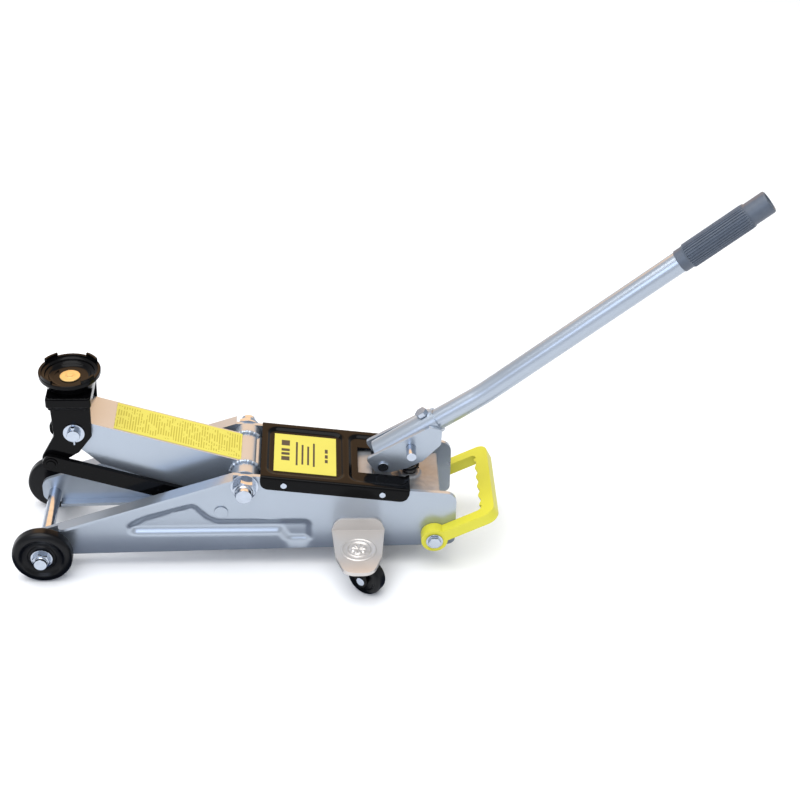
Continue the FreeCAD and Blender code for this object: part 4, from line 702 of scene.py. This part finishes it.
# ---- Power unit ---------------------------------------------------------------------------------
# A rough iron casting under silver paint: its edges are rounded and its faces uneven. The spot
# face under the pump spring is milled a little lower, so that the last coil stands clear.

unit = merged_copy("power_unit_body", "power_unit_cast")
bake_modifier(unit, "REMESH", mode="VOXEL", voxel_size=1.3 * MM)
bake_modifier(unit, "SMOOTH", factor=0.5, iterations=4)
sand = bpy.data.textures.new("sand_mould", "CLOUDS")
sand.noise_scale = 6 * MM
bake_modifier(unit, "DISPLACE", texture=sand, texture_coords="GLOBAL", strength=0.9 * MM, mid_level=0.75)
SEAT_BAND, SEAT_SINK, SEAT_EDGE = 4 * MM, 1.4 * MM, 2 * MM
spring_low, spring_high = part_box("pump_spring")
coil = (spring_high.x - spring_low.x) / 2
for vertex in unit.data.vertices:
    away = math.hypot(vertex.co.x - spring_low.x - coil, vertex.co.y) - coil
    if abs(vertex.co.z - spring_low.z) < SEAT_BAND:
        vertex.co.z -= SEAT_SINK * soft_step(1 - away / SEAT_EDGE)
hand_over(unit, CASTING, "power_unit_body", smooth=60)


# ---- Socket, clamp bolt and handle grip ---------------------------------------------------------
# The socket is a welded tube with two profiled cheeks. The grip is soft vinyl with fine flutes all
# round, between a plain collar and a plain end.

# Slate grey and matt, with the dry sheen of soft vinyl.
VINYL = surface("dark_ribbed_vinyl", "#4C5562", 0.42, grain_mm=0.7, grain_depth=0.04, tone=0.1,
                patch_mm=10)

for node, width in (("handle_socket", 0.7), ("socket_cheeks", 1.1)):
    part = merged_copy(node, f"{node}_welded")
    bake_modifier(part, "BEVEL", width=width * MM, segments=3, limit_method="ANGLE",
                  angle_limit=math.radians(40))
    hand_over(part, SILVER, node)
broken_edges("clamp_bolt", ZINC, 0.8)

grip_low, grip_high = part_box("handle_grip")
HANDLE_RISE, HANDLE_BEND = 34.2, 5.5
RISE = math.radians(HANDLE_RISE + HANDLE_BEND)
upward = Vector((math.cos(RISE), 0, math.sin(RISE)))
END, GRIP, RUN, GRIP_BORE = 11.6, 12.8, 101.0, 10.9
FLUTES_FROM, FLUTES_TO, FLUTE_DEPTH = 10.9, 75.5, 1.15
tip = grip_high - Vector((math.sin(RISE), 0, math.cos(RISE))) * END * MM
tip.y = 0
start = tip - upward * RUN * MM
profile = [(GRIP_BORE, 0.0), (END - 0.8, 0.0), (END, 0.8), (END, 8.6), (END + 0.3, 9.6), (GRIP - 0.3, 10.4)]
profile += [(GRIP, 11.0 + step) for step in (0, 2, 60, 64)]
profile += [(GRIP - 0.3, 78.0), (END, 79.4), (END, 99.0), (END - 0.5, 100.4), (END - 1.4, RUN),
            (9.2, RUN), (8.6, RUN - 0.8), (8.4, RUN - 3.4), (0.02, RUN - 3.4), (0.02, RUN - 4.2),
            (GRIP_BORE, RUN - 4.2)]
grip = lathe("handle_grip_fluted", profile, upward, start, 120)
take_up(grip)
to_grip = (Matrix.Translation(start)
           @ Vector((0, 0, 1)).rotation_difference(upward).to_matrix().to_4x4()).inverted()
bpy.ops.object.transform_apply(location=True, rotation=True, scale=True)
for vertex in grip.data.vertices:
    spot = to_grip @ vertex.co / MM
    if FLUTES_FROM < spot.z < FLUTES_TO and math.hypot(spot.x, spot.y) > GRIP - 0.1:
        flute = round(math.degrees(math.atan2(spot.y, spot.x)) % 360 / 3) % 4
        keep = 1 - (FLUTE_DEPTH / GRIP if flute in (0, 1) else 0)
        spot.x, spot.y = spot.x * keep, spot.y * keep
        vertex.co = to_grip.inverted() @ (spot * MM)
hand_over(grip, VINYL, "handle_grip", smooth=24)


# ---- Carrying handle ----------------------------------------------------------------------------
# One moulding in yellow polypropylene with rounded edges; the inner side of its grip bar is waved
# for the fingers. Each bolt has a flanged hexagon head.

# A clear greenish yellow all through, with the faint texture of the mould.
YELLOW = surface("yellow_moulded_polypropylene", "#CFC932", 0.42, grain_mm=1.1, grain_depth=0.03,
                 tone=0.03, patch_mm=35)

loop = merged_copy("carry_handle", "carry_handle_moulded")
LOOP_LEAN = math.radians(27)
FINGERS_HALF, FINGER_WAVE, FINGER_DEPTH = 39 * MM, 15.6 * MM, 1.3 * MM
score(loop, (0, 1, 0), -FINGERS_HALF, FINGERS_HALF, 3 * MM)
bolt_low, bolt_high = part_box("carry_handle_bolts")
hinge = Vector(((bolt_low.x + bolt_high.x) / 2, 0, (bolt_low.z + bolt_high.z) / 2))
outward = Vector((math.cos(LOOP_LEAN), 0, math.sin(LOOP_LEAN)))
for vertex in loop.data.vertices:
    reach = (vertex.co - hinge).dot(outward) / MM
    if 54 < reach < 60 and abs(vertex.co.y) < FINGERS_HALF + 0.5 * MM:
        vertex.co += outward * FINGER_DEPTH * (math.cos(2 * math.pi * vertex.co.y / FINGER_WAVE) - 1)
bake_modifier(loop, "BEVEL", width=2.4 * MM, segments=4, limit_method="ANGLE",
              angle_limit=math.radians(50))
hand_over(loop, YELLOW, "carry_handle", smooth=40)
broken_edges("carry_handle_bolts", ZINC, 0.8)


# ---- Labels -------------------------------------------------------------------------------------
# Yellow printed film. The print is plain bars, ranged as blocks of text would be.

def film(name, axis_turn, centre, bars, lines=None):
    """Yellow film with dark bars: each bar is its centre and half-size along and across, in mm."""
    made = surface(name, "#CDC552", 0.4, grain_mm=1.5, grain_depth=0.01, tone=0.03, patch_mm=25)
    tree = made.node_tree
    shader = tree.nodes["Principled BSDF"]
    place = next(node for node in tree.nodes if node.type == "TEX_COORD").outputs["Object"]
    turned = add(tree, "ShaderNodeMapping",
                 {"vector_type": "TEXTURE", "Location": centre, "Rotation": (0, axis_turn, 0),
                  "Scale": (MM, MM, MM)}, Vector=place)
    split = add(tree, "ShaderNodeSeparateXYZ", Vector=turned.outputs["Vector"])
    along, across = split.outputs["X"], split.outputs["Y"]
    ink = None
    for middle, half, side, reach in bars:
        hit_x = add(tree, "ShaderNodeMath", {"operation": "COMPARE", 1: middle, 2: half}, _0=along)
        hit_y = add(tree, "ShaderNodeMath", {"operation": "COMPARE", 1: side, 2: reach}, _0=across)
        both = add(tree, "ShaderNodeMath", {"operation": "MULTIPLY"}, _0=hit_x.outputs[0],
                   _1=hit_y.outputs[0])
        if ink is None:
            ink = both.outputs[0]
        else:
            ink = add(tree, "ShaderNodeMath", {"operation": "MAXIMUM"}, _0=ink, _1=both.outputs[0]).outputs[0]
    if lines:
        spacing, share, gap_mm, half_wide = lines
        comb = add(tree, "ShaderNodeMath", {"operation": "PINGPONG", 1: spacing / 2}, _0=along)
        on_line = add(tree, "ShaderNodeMath", {"operation": "LESS_THAN", 1: spacing / 2 * share},
                      _0=comb.outputs[0])
        words = add(tree, "ShaderNodeTexNoise", {"Scale": 1 / gap_mm, "Detail": 0.0},
                    Vector=turned.outputs["Vector"])
        printed = add(tree, "ShaderNodeMath", {"operation": "GREATER_THAN", 1: 0.42}, _0=words.outputs["Fac"])
        inside = add(tree, "ShaderNodeMath", {"operation": "COMPARE", 1: 0.0, 2: half_wide}, _0=across)
        both = add(tree, "ShaderNodeMath", {"operation": "MULTIPLY"}, _0=on_line.outputs[0],
                   _1=printed.outputs[0])
        ink = add(tree, "ShaderNodeMath", {"operation": "MULTIPLY"}, _0=both.outputs[0],
                  _1=inside.outputs[0]).outputs[0]
    old = shader.inputs["Base Color"].links[0].from_socket
    mix = add(tree, "ShaderNodeMix", {"data_type": "RGBA"}, _0=ink)
    tree.links.new(old, mix.inputs[6])
    mix.inputs[7].default_value = linear("#2B2A22" if bars else "#A79C2C")
    tree.links.new(mix.outputs[2], shader.inputs["Base Color"])
    return made


label_low, label_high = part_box("cover_label")
label_middle = (label_low + label_high) / 2
ARM_SLOPE = math.radians(17.9)
PRINT = [(-20.0, 4.2, 17.0, 4.6), (-20.0, 4.2, 5.0, 2.2), (-20.0, 4.2, -1.6, 2.2), (-20.0, 4.2, -9.6, 3.4),
         (-8.6, 1.0, 0.0, 20.0), (-2.8, 1.0, -1.0, 17.0), (3.0, 1.0, -2.0, 16.0), (8.8, 1.0, 0.0, 20.0),
         (21.5, 1.5, 8.0, 3.4), (21.5, 1.5, -1.0, 3.0), (21.5, 1.5, -9.0, 2.8)]
frame["nodes"]["cover_label"].data.materials.clear()
frame["nodes"]["cover_label"].data.materials.append(
    film("printed_film_cover", SLOPE, tuple(label_middle), PRINT))
frame["nodes"]["arm_label"].data.materials.clear()
frame["nodes"]["arm_label"].data.materials.append(
    film("printed_film_arm", ARM_SLOPE, tuple(PIVOT), [], (2.6, 0.42, 5.0, 18.5)))
